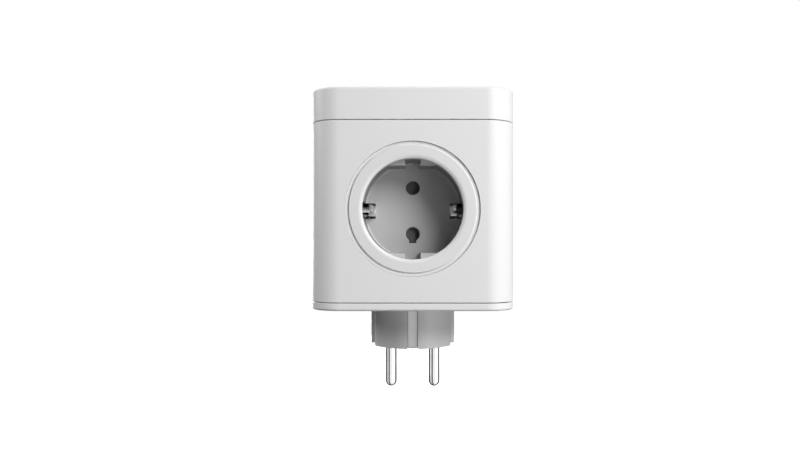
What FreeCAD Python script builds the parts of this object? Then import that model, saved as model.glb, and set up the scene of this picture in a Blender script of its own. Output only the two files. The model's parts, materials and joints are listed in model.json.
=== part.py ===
import FreeCAD, Part
import math
import os
import re

import Sketcher
from FreeCAD import Placement, Rotation, Vector

# A plug-through power meter: a cube with a CEE 7/4 earthed plug below, a CEE 7/3 socket in each of
# its four sides and a metering head with display and push buttons in its top cap.
# The origin is the centre of the plug's engagement face; the pins point to -Z, the cap to +Z.

SIZES = {
    # housing, cap and base
    "body_side": 80.0,
    "corner_radius": 11.6,
    "wall": 2.0,
    "base_bottom": 18.0,
    "base_top": 20.95,
    "parting_gap": 0.3,
    "housing_top": 91.35,
    "cap_top": 104.2,
    "edge_round": 0.9,
    "spigot_clearance": 0.1,
    "spigot_thick": 1.4,
    "spigot_height": 2.8,
    # screw posts in the corners of the housing
    "post_place": 32.2,
    "post_radius": 4.4,
    "post_height": 24.0,
    "post_bore_radius": 1.5,
    "post_bore_depth": 14.0,
    "screw_radius": 1.45,
    "screw_length": 14.0,
    "screw_head_radius": 2.8,
    "screw_head_height": 1.5,
    "screw_seat_radius": 3.1,
    "screw_seat_depth": 1.7,
    "drive_slot_long": 3.2,
    "drive_slot_wide": 0.7,
    "drive_slot_deep": 0.7,
    # columns and ledges of the base, which carry the lower contact block
    "column_place": 19.5,
    "column_radius": 3.4,
    "ledge_place": 15.5,
    "ledge_side": 11.5,
    "ledge_thick": 2.4,
    # socket recess, the same on all four sides
    "socket_level": 57.3,
    "recess_radius": 19.5,
    "recess_depth": 17.5,
    "lip_round": 1.6,
    "floor_thick": 1.6,
    "cup_radius": 20.5,
    "face_ring_radius": 25.0,
    "groove_depth": 0.7,
    "spigot_radius": 26.0,
    "opening_radius": 26.1,
    "flange_radius": 28.0,
    "flange_thick": 1.4,
    "guide_height": 17.0,
    "guide_front": 3.5,
    "guide_slot": 6.0,
    "pin_place": 9.5,
    "pin_hole_radius": 2.8,
    "pin_hole_bevel": 0.35,
    "keyway_width": 3.0,
    "keyway_reach": 3.6,
    "earth_slot_width": 6.3,
    "earth_slot_inner": 15.2,
    "earth_slot_front": 2.2,
    # shutter behind the pin holes
    "shutter_travel": 6.2,
    "shutter_thick": 1.8,
    "shutter_front": 19.25,
    "shutter_low": -5.0,
    "shutter_high": 9.8,
    "shutter_height": 26.6,
    "shutter_window_radius": 3.0,
    "ramp_half_width": 2.9,
    "retainer_front": 21.2,
    "retainer_thick": 1.1,
    "retainer_half_width": 13.6,
    "retainer_height": 29.4,
    "rail_width": 0.8,
    "seat_thick": 0.7,
    "spring_seat": 13.0,
    "spring_radius": 0.7,
    "spring_wire": 0.12,
    # earth parts
    "clip_thick": 0.6,
    "clip_place": 17.2,
    "clip_bulge": 16.0,
    "clip_width": 3.4,
    "clip_rise": 0.6,
    "clip_front": 5.0,
    "clip_tab_level": 1.9,
    "ring_outer": 17.4,
    "ring_thick": 0.8,
    "ring_height": 4.6,
    "lug_side": 3.6,
    "lug_thick": 0.5,
    # contact blocks and bus bars
    "block_half": 17.5,
    "block_gap": 2.9,
    "block_height": 19.0,
    "pillar_side": 12.0,
    "pillar_place": 8.4,
    "tab_slot_wide": 5.6,
    "tab_slot_deep": 1.4,
    "channel_half": 4.4,
    "bus_thick": 0.8,
    "bus_half_width": 3.5,
    "bus_reach": 16.0,
    "bus_offset": 13.6,
    "leaf_thick": 0.5,
    "leaf_gap_half": 2.25,
    "leaf_height": 7.0,
    "leaf_start": 7.0,
    "clamp_place": 12.0,
    "clamp_radius": 1.5,
    "clamp_head_radius": 2.7,
    "clamp_head_height": 1.8,
    # plug
    "plug_radius": 18.3,
    "plug_flat": 16.3,
    "rib_half": 2.5,
    "rib_short": 0.4,
    "plug_flange_radius": 23.0,
    "plug_flange_thick": 1.8,
    "plug_cavity_radius": 13.2,
    "plug_cavity_floor": 9.0,
    "plug_pin_radius": 2.4,
    "plug_stem_radius": 2.1,
    "pin_seat_radius": 2.7,
    "pin_seat_depth": 0.4,
    "plug_pin_length": 19.0,
    "plug_pin_top": 14.0,
    "plug_pin_collar": 3.3,
    "plug_collar_thick": 1.5,
    "solder_bore_radius": 1.3,
    "solder_bore_depth": 3.0,
    "earth_groove_half": 2.15,
    "earth_strip_outer": 16.3,
    "earth_strip_thick": 1.0,
    "earth_strip_start": 0.6,
    "earth_bow_level": 25.0,
    # metering head in the cap
    "board_side": 72.0,
    "board_corner": 7.6,
    "board_bottom": 93.0,
    "board_thick": 1.6,
    "board_screw_place": 28.5,
    "board_post_radius": 2.6,
    "board_hole_radius": 1.4,
    "board_screw_radius": 0.95,
    "board_screw_length": 5.3,
    "board_head_radius": 2.2,
    "board_head_height": 1.3,
    "pilot_radius": 1.0,
    "via_radius": 0.5,
    "via_pitch": 2.54,
    "via_row": -30.0,
    "window_wide": 46.0,
    "window_deep": 26.0,
    "window_thick": 1.4,
    "window_middle": 9.0,
    "window_rim": 2.0,
    "window_clearance": 0.1,
    "glass_low": 99.1,
    "glass_wide": 48.0,
    "glass_deep": 28.0,
    "glass_step": 1.1,
    "backlight_wide": 46.0,
    "backlight_deep": 20.0,
    "backlight_thick": 2.0,
    "strip_wide": 44.0,
    "strip_thick": 2.0,
    "strip_place": 12.2,
    "button_row": -19.0,
    "button_pitch": 16.0,
    "button_radius": 4.2,
    "button_proud": 0.9,
    "button_gap": 0.3,
    "button_flange": 0.9,
    "button_clearance": 0.3,
    "button_stem_radius": 1.6,
    "button_lift": 0.9,
    "dish_radius": 24.0,
    "dish_depth": 0.3,
    "switch_side": 6.0,
    "switch_height": 3.4,
    "plunger_radius": 1.7,
    "plunger_sunk": 1.0,
    "plunger_proud": 0.9,
    "switch_leg_wide": 9.2,
    "switch_leg_deep": 0.7,
    "switch_leg_thick": 0.3,
    "switch_leg_place": 2.25,
}

SIDES = ["front", "right", "back", "left"]

doc = FreeCAD.newDocument("power_meter")
sheet = doc.addObject("Spreadsheet::Sheet", "Sheet")
for row, (alias, size) in enumerate(SIZES.items(), start=1):
    sheet.set(f"A{row}", alias)
    sheet.set(f"B{row}", str(size))
    sheet.setAlias(f"B{row}", alias)
probe = doc.addObject("App::FeaturePython", "probe")
probe.addProperty("App::PropertyFloat", "Number")
doc.recompute()

subparts = []


def bound(text):
    """An expression in which each size's name points at its cell."""
    return re.sub(r"[a-z_]+", lambda word: f"Sheet.{word[0]}" if word[0] in SIZES else word[0], str(text))


def value(text):
    """The number that such an expression comes to, for shapes set in code."""
    probe.setExpression("Number", bound(text))
    probe.recompute()
    return probe.Number


def bind(piece, **sizes):
    for name, text in sizes.items():
        piece.setExpression(name, bound(text))
    return piece


def put(piece, x=0, y=0, z=0, turn=None):
    if turn:
        piece.Placement = Placement(Vector(), turn)
    for axis, text in (("x", x), ("y", y), ("z", z)):
        piece.setExpression(f"Placement.Base.{axis}", bound(text))
    return piece


# Turns that lay a cylinder's own +Z along another direction.
ALONG_X = Rotation(Vector(0, 1, 0), 90)
ALONG_Y = Rotation(Vector(1, 0, 0), -90)


def box(wide, deep, high, x=0, y=0, z=0):
    """A box centred on x and y that stands on z."""
    piece = doc.addObject("Part::Box", "box")
    bind(piece, Length=wide, Width=deep, Height=high)
    return put(piece, f"({x}) - ({wide}) / 2", f"({y}) - ({deep}) / 2", z)


def rod(radius, length, x=0, y=0, z=0, turn=None):
    piece = doc.addObject("Part::Cylinder", "rod")
    bind(piece, Radius=radius, Height=length)
    return put(piece, x, y, z, turn)


def cone(start_radius, end_radius, length, x=0, y=0, z=0, turn=None):
    piece = doc.addObject("Part::Cone", "cone")
    bind(piece, Radius1=start_radius, Radius2=end_radius, Height=length)
    return put(piece, x, y, z, turn)


def torus(ring_radius, tube_radius, x=0, y=0, z=0, turn=None):
    piece = doc.addObject("Part::Torus", "torus")
    bind(piece, Radius1=ring_radius, Radius2=tube_radius)
    return put(piece, x, y, z, turn)


def fused(*pieces):
    if len(pieces) == 1:
        return pieces[0]
    fuse = doc.addObject("Part::MultiFuse", "fuse")
    fuse.Shapes = list(pieces)
    fuse.Refine = True
    return fuse


def cut(base, *tools):
    piece = doc.addObject("Part::Cut", "cut")
    piece.Base = base
    piece.Tool = fused(*tools)
    piece.Refine = True
    return piece


def grouped(name, pieces):
    """Loose pieces of one kind, kept as separate solids."""
    group = doc.addObject("Part::Compound", name)
    group.Links = pieces
    return group


def common(one, other):
    piece = doc.addObject("Part::Common", "common")
    piece.Base = one
    piece.Tool = other
    return piece


def shaped(shape, name):
    """A piece whose shape is worked out in code from the sheet's sizes."""
    piece = doc.addObject("Part::Feature", name)
    piece.Shape = shape
    return piece


def keep(piece, label, quarter_turns=0):
    """Name a finished sub-part, and turn it about Z to its side of the cube."""
    if quarter_turns:
        piece.Placement = Placement(Vector(), Rotation(Vector(0, 0, 1), 90 * quarter_turns))
    piece.Label = label
    subparts.append(piece)
    return piece


# ---------------------------------------------------------------- sketched square plates


def rounded_square(body, name, side, corner, level):
    """A square with round corners, centred on the origin, sketched at a level."""
    plane = next(f for f in body.Origin.OriginFeatures if f.Role == "XY_Plane")
    sketch = body.newObject("Sketcher::SketchObject", name)
    sketch.AttachmentSupport = [(plane, "")]
    sketch.MapMode = "FlatFace"
    sketch.setExpression("AttachmentOffset.Base.z", bound(level))
    half = value(side) / 2
    radius = value(corner)
    flat = half - radius
    for quarter in range(4):
        turn = Rotation(Vector(0, 0, 1), -90 * quarter)
        start = turn.multVec(Vector(-flat, half, 0))
        end = turn.multVec(Vector(flat, half, 0))
        centre = turn.multVec(Vector(flat, flat, 0))
        first = math.radians(-90 * quarter)
        circle = Part.Circle(centre, Vector(0, 0, 1), radius)
        sketch.addGeometry(Part.LineSegment(start, end))
        sketch.addGeometry(Part.ArcOfCircle(circle, first, first + math.pi / 2))
    for quarter in range(4):
        line = 2 * quarter
        arc = line + 1
        after = (line + 2) % 8
        sketch.addConstraint(Sketcher.Constraint("Tangent", line, 2, arc, 2))
        sketch.addConstraint(Sketcher.Constraint("Tangent", arc, 1, after, 1))
        sketch.addConstraint(Sketcher.Constraint("Vertical" if quarter % 2 else "Horizontal", line))
    for arc in (3, 5, 7):
        sketch.addConstraint(Sketcher.Constraint("Equal", 1, arc))
    sketch.addConstraint(Sketcher.Constraint("Symmetric", 1, 3, 5, 3, -1, 1))
    sizes = (
        ("wide", Sketcher.Constraint("DistanceX", 6, 1, 2, 1, 2 * half), side),
        ("deep", Sketcher.Constraint("DistanceY", 4, 1, 0, 1, 2 * half), side),
        ("corner", Sketcher.Constraint("Radius", 1, radius), corner),
    )
    for size_name, constraint, text in sizes:
        number = sketch.addConstraint(constraint)
        sketch.renameConstraint(number, size_name)
        sketch.setExpression(f"Constraints.{size_name}", bound(text))
    return sketch


def square_plate(name, side, corner, low, high, round_at=None):
    """A padded rounded square from one level to another, its rim at one level rounded off."""
    body = doc.addObject("PartDesign::Body", name)
    sketch = rounded_square(body, f"{name}_outline", side, corner, low)
    pad = body.newObject("PartDesign::Pad", f"{name}_pad")
    pad.Profile = sketch
    bind(pad, Length=f"({high}) - ({low})")
    body.Tip = pad
    doc.recompute()
    if round_at is not None:
        level = value(round_at)
        rim = [
            f"Edge{number}"
            for number, edge in enumerate(pad.Shape.Edges, start=1)
            if all(abs(vertex.Z - level) < 1e-4 for vertex in edge.Vertexes)
        ]
        rounding = body.newObject("PartDesign::Fillet", f"{name}_rounding")
        rounding.Base = (pad, rim)
        bind(rounding, Radius="edge_round")
        body.Tip = rounding
        doc.recompute()
    return body


# ---------------------------------------------------------------- swept wires and strips


def bent_path(points, largest=1e9):
    """Straight runs joined by tangent arcs as large as the runs allow, up to a largest radius."""
    points = [Vector(*point) for point in points]
    edges = []
    last = points[0]
    for before, corner, after in zip(points, points[1:], points[2:]):
        into = (corner - before).normalize()
        out = (after - corner).normalize()
        half_turn = into.getAngle(out) / 2
        run = min((corner - before).Length, (after - corner).Length)
        radius = min(largest, 0.45 * run / math.tan(half_turn))
        back = radius * math.tan(half_turn)
        start = corner - into * back
        end = corner + out * back
        inward = (out - into).normalize()
        middle = corner + inward * (radius / math.cos(half_turn) - radius)
        edges.append(Part.LineSegment(last, start).toShape())
        edges.append(Part.Arc(start, middle, end).toShape())
        last = end
    edges.append(Part.LineSegment(last, points[-1]).toShape())
    return Part.Wire(edges)


def swept_tube(points, radius, largest=1e9):
    path = bent_path(points, largest)
    start = Vector(*points[0])
    heading = Vector(*points[1]) - start
    ring = Part.Wire([Part.Circle(start, heading, radius).toShape()])
    return path.makePipeShell([ring], True, False)


def swept_strip(points, across, width, thick, largest):
    """A flat strip bent along a plane path; across is the direction of its width."""
    path = bent_path(points, largest)
    start = Vector(*points[0])
    heading = (Vector(*points[1]) - start).normalize()
    across = Vector(*across)
    through = heading.cross(across)
    corners = []
    for side, face in ((-1, -1), (1, -1), (1, 1), (-1, 1)):
        corners.append(start + across * (side * width / 2) + through * (face * thick / 2))
    profile = Part.makePolygon(corners + corners[:1])
    return path.makePipeShell([profile], True, False)


# ---------------------------------------------------------------- casing


def corner_places(place):
    return [(f"{sx} * ({place})", f"{sy} * ({place})") for sx in (-1, 1) for sy in (-1, 1)]


def main_housing():
    low = "base_top + parting_gap"
    outer = square_plate("housing_outer", "body_side", "corner_radius", low, "housing_top")
    inner_side = "body_side - 2 * wall"
    inner = square_plate("housing_inner", inner_side, "corner_radius - wall", "base_bottom", "cap_top")
    tube = cut(outer, inner)
    posts = [
        rod("post_radius", "post_height", x, y, f"{low} + spigot_height + 0.2")
        for x, y in corner_places("post_place")
    ]
    # the posts grow out of the corners, so what would stand outside the wall is trimmed away
    trim = square_plate("post_trim", "body_side - wall", "corner_radius - wall / 2", low, "cap_top")
    trimmed = common(fused(*posts), trim)
    bores = [
        rod("post_bore_radius", "post_bore_depth + 1", x, y, f"{low} + spigot_height - 0.8")
        for x, y in corner_places("post_place")
    ]
    through = [
        rod("opening_radius", "body_side + 2", y="-body_side / 2 - 1", z="socket_level", turn=ALONG_Y),
        rod("opening_radius", "body_side + 2", x="-body_side / 2 - 1", z="socket_level", turn=ALONG_X),
    ]
    keep(cut(fused(tube, trimmed), *through, *bores), "main_housing")


def spigot(name, low, high):
    """The square collar by which a cover locates inside the housing."""
    outer_side = "body_side - 2 * wall - 2 * spigot_clearance"
    outer = square_plate(f"{name}_outer", outer_side, "corner_radius - wall - spigot_clearance", low, high)
    inner_side = f"{outer_side} - 2 * spigot_thick"
    inner_corner = "corner_radius - wall - spigot_clearance - spigot_thick"
    inner = square_plate(f"{name}_inner", inner_side, inner_corner, f"{low} - 1", f"{high} + 1")
    return cut(outer, inner)


def base_plate():
    slab = square_plate("base_slab", "body_side", "corner_radius", "base_bottom", "base_top", "base_bottom")
    collar = spigot("base_collar", "base_top - 0.5", "base_top + parting_gap + spigot_height")
    block_low = "socket_level - block_gap - block_height"
    columns = [
        rod("column_radius", f"{block_low} - base_top + 0.5", x, y, "base_top - 0.5")
        for x, y in corner_places("column_place")
    ]
    ledges = [
        box("ledge_side", "ledge_side", "ledge_thick", x, y, f"{block_low} - ledge_thick")
        for x, y in corner_places("ledge_place")
    ]
    seats = []
    for x, y in corner_places("post_place"):
        seats.append(rod("screw_seat_radius", "screw_seat_depth + 1", x, y, "base_bottom - 1"))
        seats.append(rod("post_bore_radius + 0.1", "6", x, y, "base_bottom - 1"))
    hole = rod("plug_radius + 0.1", "6", z="base_bottom - 1")
    keep(cut(fused(slab, collar, *columns, *ledges), hole, *seats), "base_plate")


def base_screws():
    screws = []
    head_low = "base_bottom + screw_seat_depth - screw_head_height"
    for x, y in corner_places("post_place"):
        head = rod("screw_head_radius", "screw_head_height", x, y, head_low)
        shank = rod("screw_radius", "screw_length", x, y, "base_bottom + screw_seat_depth - 0.1")
        slots = [
            box(long, wide, "drive_slot_deep + 0.1", x, y, f"{head_low} - 0.1")
            for long, wide in (("drive_slot_long", "drive_slot_wide"), ("drive_slot_wide", "drive_slot_long"))
        ]
        screws.append(cut(fused(head, shank), *slots))
    keep(grouped("screws", screws), "base_screws")


def button_places():
    return [(name, f"{step} * button_pitch") for name, step in (("left", -1), ("middle", 0), ("right", 1))]


def top_cap():
    low = "housing_top + parting_gap"
    inner_side = "body_side - 2 * wall"
    inner_corner = "corner_radius - wall"
    shell = square_plate("cap_outer", "body_side", "corner_radius", low, "cap_top", "cap_top")
    hollow = square_plate("cap_inner", inner_side, inner_corner, f"{low} - 1", "cap_top - wall")
    collar = spigot("cap_collar", "housing_top - spigot_height", f"{low} + 1")
    # the collar is joined to the cap's wall above the parting line
    web_side = f"{inner_side} - 2 * spigot_thick"
    web = cut(
        square_plate("web_outer", "body_side - 1", "corner_radius - 0.5", low, f"{low} + 1"),
        square_plate("web_inner", web_side, f"{inner_corner} - spigot_thick", f"{low} - 1", f"{low} + 2"),
    )
    board_top = "board_bottom + board_thick"
    posts = [
        rod("board_post_radius", f"cap_top - wall - ({board_top}) + 0.5", x, y, board_top)
        for x, y in corner_places("board_screw_place")
    ]
    bed_wide = "window_wide + 2 * window_clearance"
    bed_deep = "window_deep + 2 * window_clearance"
    bed = box(bed_wide, bed_deep, "window_thick + 1", 0, "window_middle", "cap_top - window_thick")
    view_wide = "window_wide - 2 * window_rim"
    view_deep = "window_deep - 2 * window_rim"
    view = box(view_wide, view_deep, "6", 0, "window_middle", "cap_top - 4")
    button_holes = [
        rod("button_radius + button_clearance", "6", x, "button_row", "cap_top - 4")
        for _, x in button_places()
    ]
    pilot_holes = [
        rod("pilot_radius", "5", x, y, f"{board_top} - 1") for x, y in corner_places("board_screw_place")
    ]
    solid = fused(cut(shell, hollow), collar, web, *posts)
    keep(cut(solid, bed, view, *button_holes, *pilot_holes), "top_cap")


# ---------------------------------------------------------------- plug


def plug_body():
    neck = rod("plug_radius", "base_top + 0.1")
    flats = []
    for side in (-1, 1):
        x = f"{side} * (plug_flat + 2)"
        for half in (-1, 1):
            flats.append(box("4", "8", "base_bottom + 1", x, f"{half} * (rib_half + 4)", -1))
        flats.append(box("4", "2 * rib_half + 0.2", "rib_short + 1", x, 0, -1))
    flange = rod("plug_flange_radius", "plug_flange_thick", z="base_top")
    cavity = rod("plug_cavity_radius", "base_top + plug_flange_thick", z="plug_cavity_floor")
    groove_middle = "earth_strip_outer - earth_strip_thick + 5"
    grooves = [
        box("2 * earth_groove_half", "10", "40", 0, f"{side} * ({groove_middle})", -1) for side in (-1, 1)
    ]
    seats = []
    for side in (-1, 1):
        x = f"{side} * pin_place"
        seats.append(rod("plug_stem_radius + 0.05", "20", x, 0, -1))
        seats.append(rod("pin_seat_radius", "pin_seat_depth + 1", x, 0, -1))
        collar_low = "plug_cavity_floor - plug_collar_thick"
        seats.append(rod("plug_pin_collar + 0.05", "plug_collar_thick", x, 0, collar_low))
    edge = torus_edge("plug_radius", 0.5)
    solid = fused(cut(neck, edge, *flats), flange)
    keep(cut(solid, cavity, *grooves, *seats), "plug_body")


def torus_edge(radius, amount):
    """What a small rounding takes off the lower rim of an upright cylinder."""
    ring = cut(rod(f"{radius} + 1", amount), rod(f"{radius} - {amount}", f"{amount} + 2", z=-1))
    return cut(ring, torus(f"{radius} - {amount}", amount, z=amount))


def plug_pins():
    """Each pin has a domed tip, a thinner stem inside the plug, and a collar that holds it there."""
    for name, side in (("live", -1), ("neutral", 1)):
        x = f"{side} * pin_place"
        straight_low = "plug_pin_radius - plug_pin_length"
        shank = rod("plug_pin_radius", f"-({straight_low})", x, 0, straight_low)
        tip = doc.addObject("Part::Sphere", "tip")
        bind(tip, Radius="plug_pin_radius")
        put(tip, x, 0, straight_low)
        stem = rod("plug_stem_radius", "plug_pin_top + 0.5", x, 0, -0.5)
        collar = rod("plug_pin_collar", "plug_collar_thick", x, 0, "plug_cavity_floor - plug_collar_thick")
        bore = rod("solder_bore_radius", "solder_bore_depth + 1", x, 0, "plug_pin_top - solder_bore_depth")
        keep(cut(fused(shank, tip, stem, collar), bore), f"plug_pin_{name}")


def plug_earth_bow():
    """One strip: up one side of the plug, across inside the base and down the other side."""
    y = value("earth_strip_outer - earth_strip_thick / 2")
    low = value("earth_strip_start")
    top = value("earth_bow_level")
    points = [(0, -y, low), (0, -y, top), (0, y, top), (0, y, low)]
    width = value("2 * earth_groove_half - 0.1")
    strip = swept_strip(points, (1, 0, 0), width, value("earth_strip_thick"), 2.0)
    keep(shaped(strip, "bow"), "plug_earth_bow")


# ---------------------------------------------------------------- sockets


def facing(depth):
    """The y of a plane at a depth behind the front face."""
    return f"-body_side / 2 + ({depth})"


def disc(radius, front, back, z="socket_level", x=0):
    """A cylinder on a socket's axis between two depths."""
    return rod(radius, f"({back}) - ({front})", x, facing(front), z, ALONG_Y)


def block_at(wide, high, front, back, x=0, z=0):
    """A box given by its width, height and two depths, centred on x and on z above the socket's axis."""
    middle = f"-body_side / 2 + (({front}) + ({back})) / 2"
    return box(wide, f"({back}) - ({front})", high, x, middle, f"socket_level + ({z}) - ({high}) / 2")


def earth_slots():
    """Cutters for the two slots by which the earth clips reach into a recess."""
    back = "recess_depth + floor_thick + 1"
    return [
        block_at("10", "earth_slot_width", "earth_slot_front", back, f"{across} * (earth_slot_inner + 5)")
        for across in (-1, 1)
    ]


def socket_insert(side, name):
    """The face ring, the wall of the recess and the four blocks that guide a plug."""
    ring = disc("face_ring_radius", 0, "groove_depth + 0.2")
    rim = disc("spigot_radius", "groove_depth", "wall")
    flange = disc("flange_radius", "wall", "wall + flange_thick")
    cup = disc("cup_radius", 0, "recess_depth")
    recess = disc("recess_radius", -1, "recess_depth + 1")
    lip_outer = "recess_radius + lip_round"
    lip = cut(
        disc(lip_outer, -1, "lip_round"),
        torus(lip_outer, "lip_round", y=facing("lip_round"), z="socket_level", turn=ALONG_Y),
    )
    guide_bars = [
        block_at("30", "6", "guide_front", "recess_depth", 0, f"{up} * (guide_height + 3)") for up in (-1, 1)
    ]
    guides = cut(
        common(fused(*guide_bars), disc("recess_radius + 0.5", "guide_front", "recess_depth")),
        block_at("guide_slot", "60", 0, "recess_depth"),
    )
    solid = fused(cut(fused(ring, rim, flange, cup), recess, lip), guides)
    keep(cut(solid, *earth_slots()), f"socket_insert_{name}", side)


def socket_floor(side, name):
    """The floor of a recess, with the two pin holes and the keyway of the lower one."""
    back = "recess_depth + floor_thick"
    plate = disc("cup_radius", "recess_depth", back)
    openings = earth_slots()
    for up in (-1, 1):
        level = f"socket_level + {up} * pin_place"
        openings.append(disc("pin_hole_radius", "recess_depth - 1", f"{back} + 1", level))
        wide = "pin_hole_radius + pin_hole_bevel"
        openings.append(
            cone(wide, "pin_hole_radius", "pin_hole_bevel", 0, facing("recess_depth"), level, ALONG_Y)
        )
    below = "-pin_place - keyway_reach / 2"
    openings.append(block_at("keyway_width", "keyway_reach", "recess_depth - 1", f"{back} + 1", 0, below))
    keep(cut(plate, *openings), f"socket_floor_{name}", side)


def shutter(side, name):
    middle = "(shutter_low + shutter_high) / 2"
    back = "shutter_front + shutter_thick"
    plate = block_at("shutter_high - shutter_low", "shutter_height", "shutter_front", back, middle)
    tools = []
    for up in (-1, 1):
        level = f"socket_level + {up} * pin_place"
        window = disc("shutter_window_radius", "shutter_front - 1", f"{back} + 1", level, "shutter_travel")
        tools.append(window)
        wedge = doc.addObject("Part::Wedge", "ramp")
        # the ramp gets deeper towards the window, so a pin that pushes on it moves the slider sideways
        wide = "2 * ramp_half_width"
        bind(wedge, Xmin=0, Xmax=wide, X2min=f"{wide} - 0.1", X2max=wide)
        bind(wedge, Ymin=0, Ymax="shutter_thick - 0.4")
        bind(wedge, Zmin=0, Zmax=wide, Z2min=0, Z2max=wide)
        put(wedge, "-ramp_half_width", facing("shutter_front"), f"{level} - ramp_half_width")
        tools.append(wedge)
    keep(cut(plate, *tools), f"shutter_{name}", side)


def shutter_spring(side, name):
    """A small compression spring between the slider's edge and the retainer's ear."""
    length = value("spring_seat + shutter_low")
    wire = value("spring_wire")
    radius = value("spring_radius")
    helix = Part.makeHelix((length - 2 * wire) / 6, length - 2 * wire, radius)
    ring = Part.Wire([Part.Circle(Vector(radius, 0, 0), Vector(0, 1, 0), wire).toShape()])
    coil = Part.Wire(helix).makePipeShell([ring], True, True)
    depth = value("shutter_front + shutter_thick / 2 - body_side / 2")
    coil.Placement = Placement(
        Vector(-value("spring_seat") + wire, depth, value("socket_level")), ALONG_X
    )
    turned = coil.copy()
    turned.rotate(Vector(), Vector(0, 0, 1), 90 * side)
    keep(shaped(turned, "coil"), f"shutter_spring_{name}")


def shutter_retainer(side, name):
    back = "retainer_front + retainer_thick"
    wide = "2 * retainer_half_width"
    floor_back = "recess_depth + floor_thick"
    joined = "retainer_front + 0.1"
    plate = block_at(wide, "retainer_height", "retainer_front", back)
    rails = [
        block_at(wide, "rail_width", floor_back, joined, 0, f"{up} * (retainer_height - rail_width) / 2")
        for up in (-1, 1)
    ]
    ear = block_at("seat_thick", "4", floor_back, joined, "-spring_seat - seat_thick / 2")
    holes = []
    for up in (-1, 1):
        level = f"socket_level + {up} * pin_place"
        holes.append(disc("pin_hole_radius + 0.4", "retainer_front - 1", f"{back} + 1", level))
    keep(cut(fused(plate, *rails, ear), *holes), f"shutter_retainer_{name}", side)


def earth_clips(side, name):
    """The two sprung earth contacts of one socket: a bowed leaf and a short lower tab on each."""
    face = -value("body_side") / 2
    inner_end = -value("ring_outer") - 0.15
    level = value("socket_level")
    rise = value("clip_rise")
    place = value("clip_place")
    bulge = value("clip_bulge")
    front = face + value("clip_front")
    thick = value("clip_thick")
    clips = []
    for across in (-1, 1):
        leaf = swept_strip(
            [
                (across * place, inner_end, level + rise),
                (across * place, face + 16.5, level + rise),
                (across * bulge, face + 11.0, level + rise),
                (across * (place + 0.6), front, level + rise),
            ],
            (0, 0, 1), value("clip_width"), thick, 3.0,
        )
        tab_level = level - value("clip_tab_level")
        tab = Part.makeBox(2.2, 9.0, thick, Vector(-1.1, 0, 0))
        tab.translate(Vector(across * (bulge + 0.5), face + 12.0, tab_level - thick / 2))
        foot = Part.makeBox(thick, 2.6, 4.5, Vector(-thick / 2, 0, 0))
        foot.translate(Vector(across * place, face + 19.2, tab_level - thick / 2))
        clips.append(leaf.fuse([tab, foot]).removeSplitter())
    pair = Part.makeCompound(clips)
    pair.rotate(Vector(), Vector(0, 0, 1), 90 * side)
    keep(shaped(pair, "clips"), f"earth_clips_{name}")


# ---------------------------------------------------------------- conductors inside


def earth_ring():
    low = "socket_level - ring_height / 2"
    outer = box("2 * ring_outer", "2 * ring_outer", "ring_height", 0, 0, low)
    side = "2 * (ring_outer - ring_thick)"
    band = cut(outer, box(side, side, "ring_height + 2", 0, 0, f"{low} - 1"))
    lug_place = "ring_outer - ring_thick + lug_side / 2"
    lug = box("lug_side", "lug_side", "lug_thick", lug_place, lug_place, f"{low} - lug_thick")
    keep(fused(band, lug), "earth_ring")


def bus_bar(name, up):
    """A cross of strip with a pair of sprung leaves on each arm and a tab at its centre."""
    level = value("socket_level") + up * value("bus_offset")
    thick = value("bus_thick")
    reach = value("bus_reach")
    half = value("bus_half_width")
    leaf = value("leaf_thick")
    gap = value("leaf_gap_half")
    tall = value("leaf_height")
    start = value("leaf_start")
    pieces = [Part.makeBox(2 * reach, 2 * half, thick, Vector(-reach, -half, level - thick / 2))]
    pieces.append(Part.makeBox(2 * half, 2 * reach, thick, Vector(-half, -reach, level - thick / 2)))
    foot = level - thick / 2 - tall if up > 0 else level + thick / 2 - 0.05
    for quarter in range(4):
        for across in (-1, 1):
            inner = across * gap if across > 0 else -gap - leaf
            strip = Part.makeBox(leaf, reach - start, tall + 0.05, Vector(inner, -reach, foot))
            strip.rotate(Vector(), Vector(0, 0, 1), 90 * quarter)
            pieces.append(strip)
    tab_low = level if up > 0 else level - 13.4
    pieces.append(Part.makeBox(5.0, thick, 13.4, Vector(-2.5, -thick / 2, tab_low)))
    whole = pieces[0].fuse(pieces[1:]).removeSplitter()
    keep(shaped(whole, "bus"), f"{name}_bus_bar")


def contact_block(name, up):
    """Insulation round one bus bar, with a cross-shaped channel for the leaves and the pins."""
    side = "2 * block_half"
    low = "socket_level + block_gap" if up > 0 else "socket_level - block_gap - block_height"
    base = box(side, side, "block_height", 0, 0, low)
    channel_low = f"socket_level + {up} * (pin_place + 0.6) - 6"
    tools = [
        box("2 * channel_half", "60", "12", 0, 0, channel_low),
        box("60", "2 * channel_half", "12", 0, 0, channel_low),
    ]
    slot_low = "socket_level + 12" if up > 0 else "socket_level - 30"
    tools.append(box("tab_slot_wide", "tab_slot_deep", "18", 0, 0, slot_low))
    for x, y in corner_places("clamp_place"):
        tools.append(rod("clamp_radius", "60", x, y, "socket_level - 30"))
    if up < 0:
        pillars = [
            box("pillar_side", "pillar_side", "2 * block_gap", place, place, "socket_level - block_gap")
            for place in ("pillar_place", "-pillar_place")
        ]
        base = fused(base, *pillars)
    keep(cut(base, *tools), f"{name}_contact_block")


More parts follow.
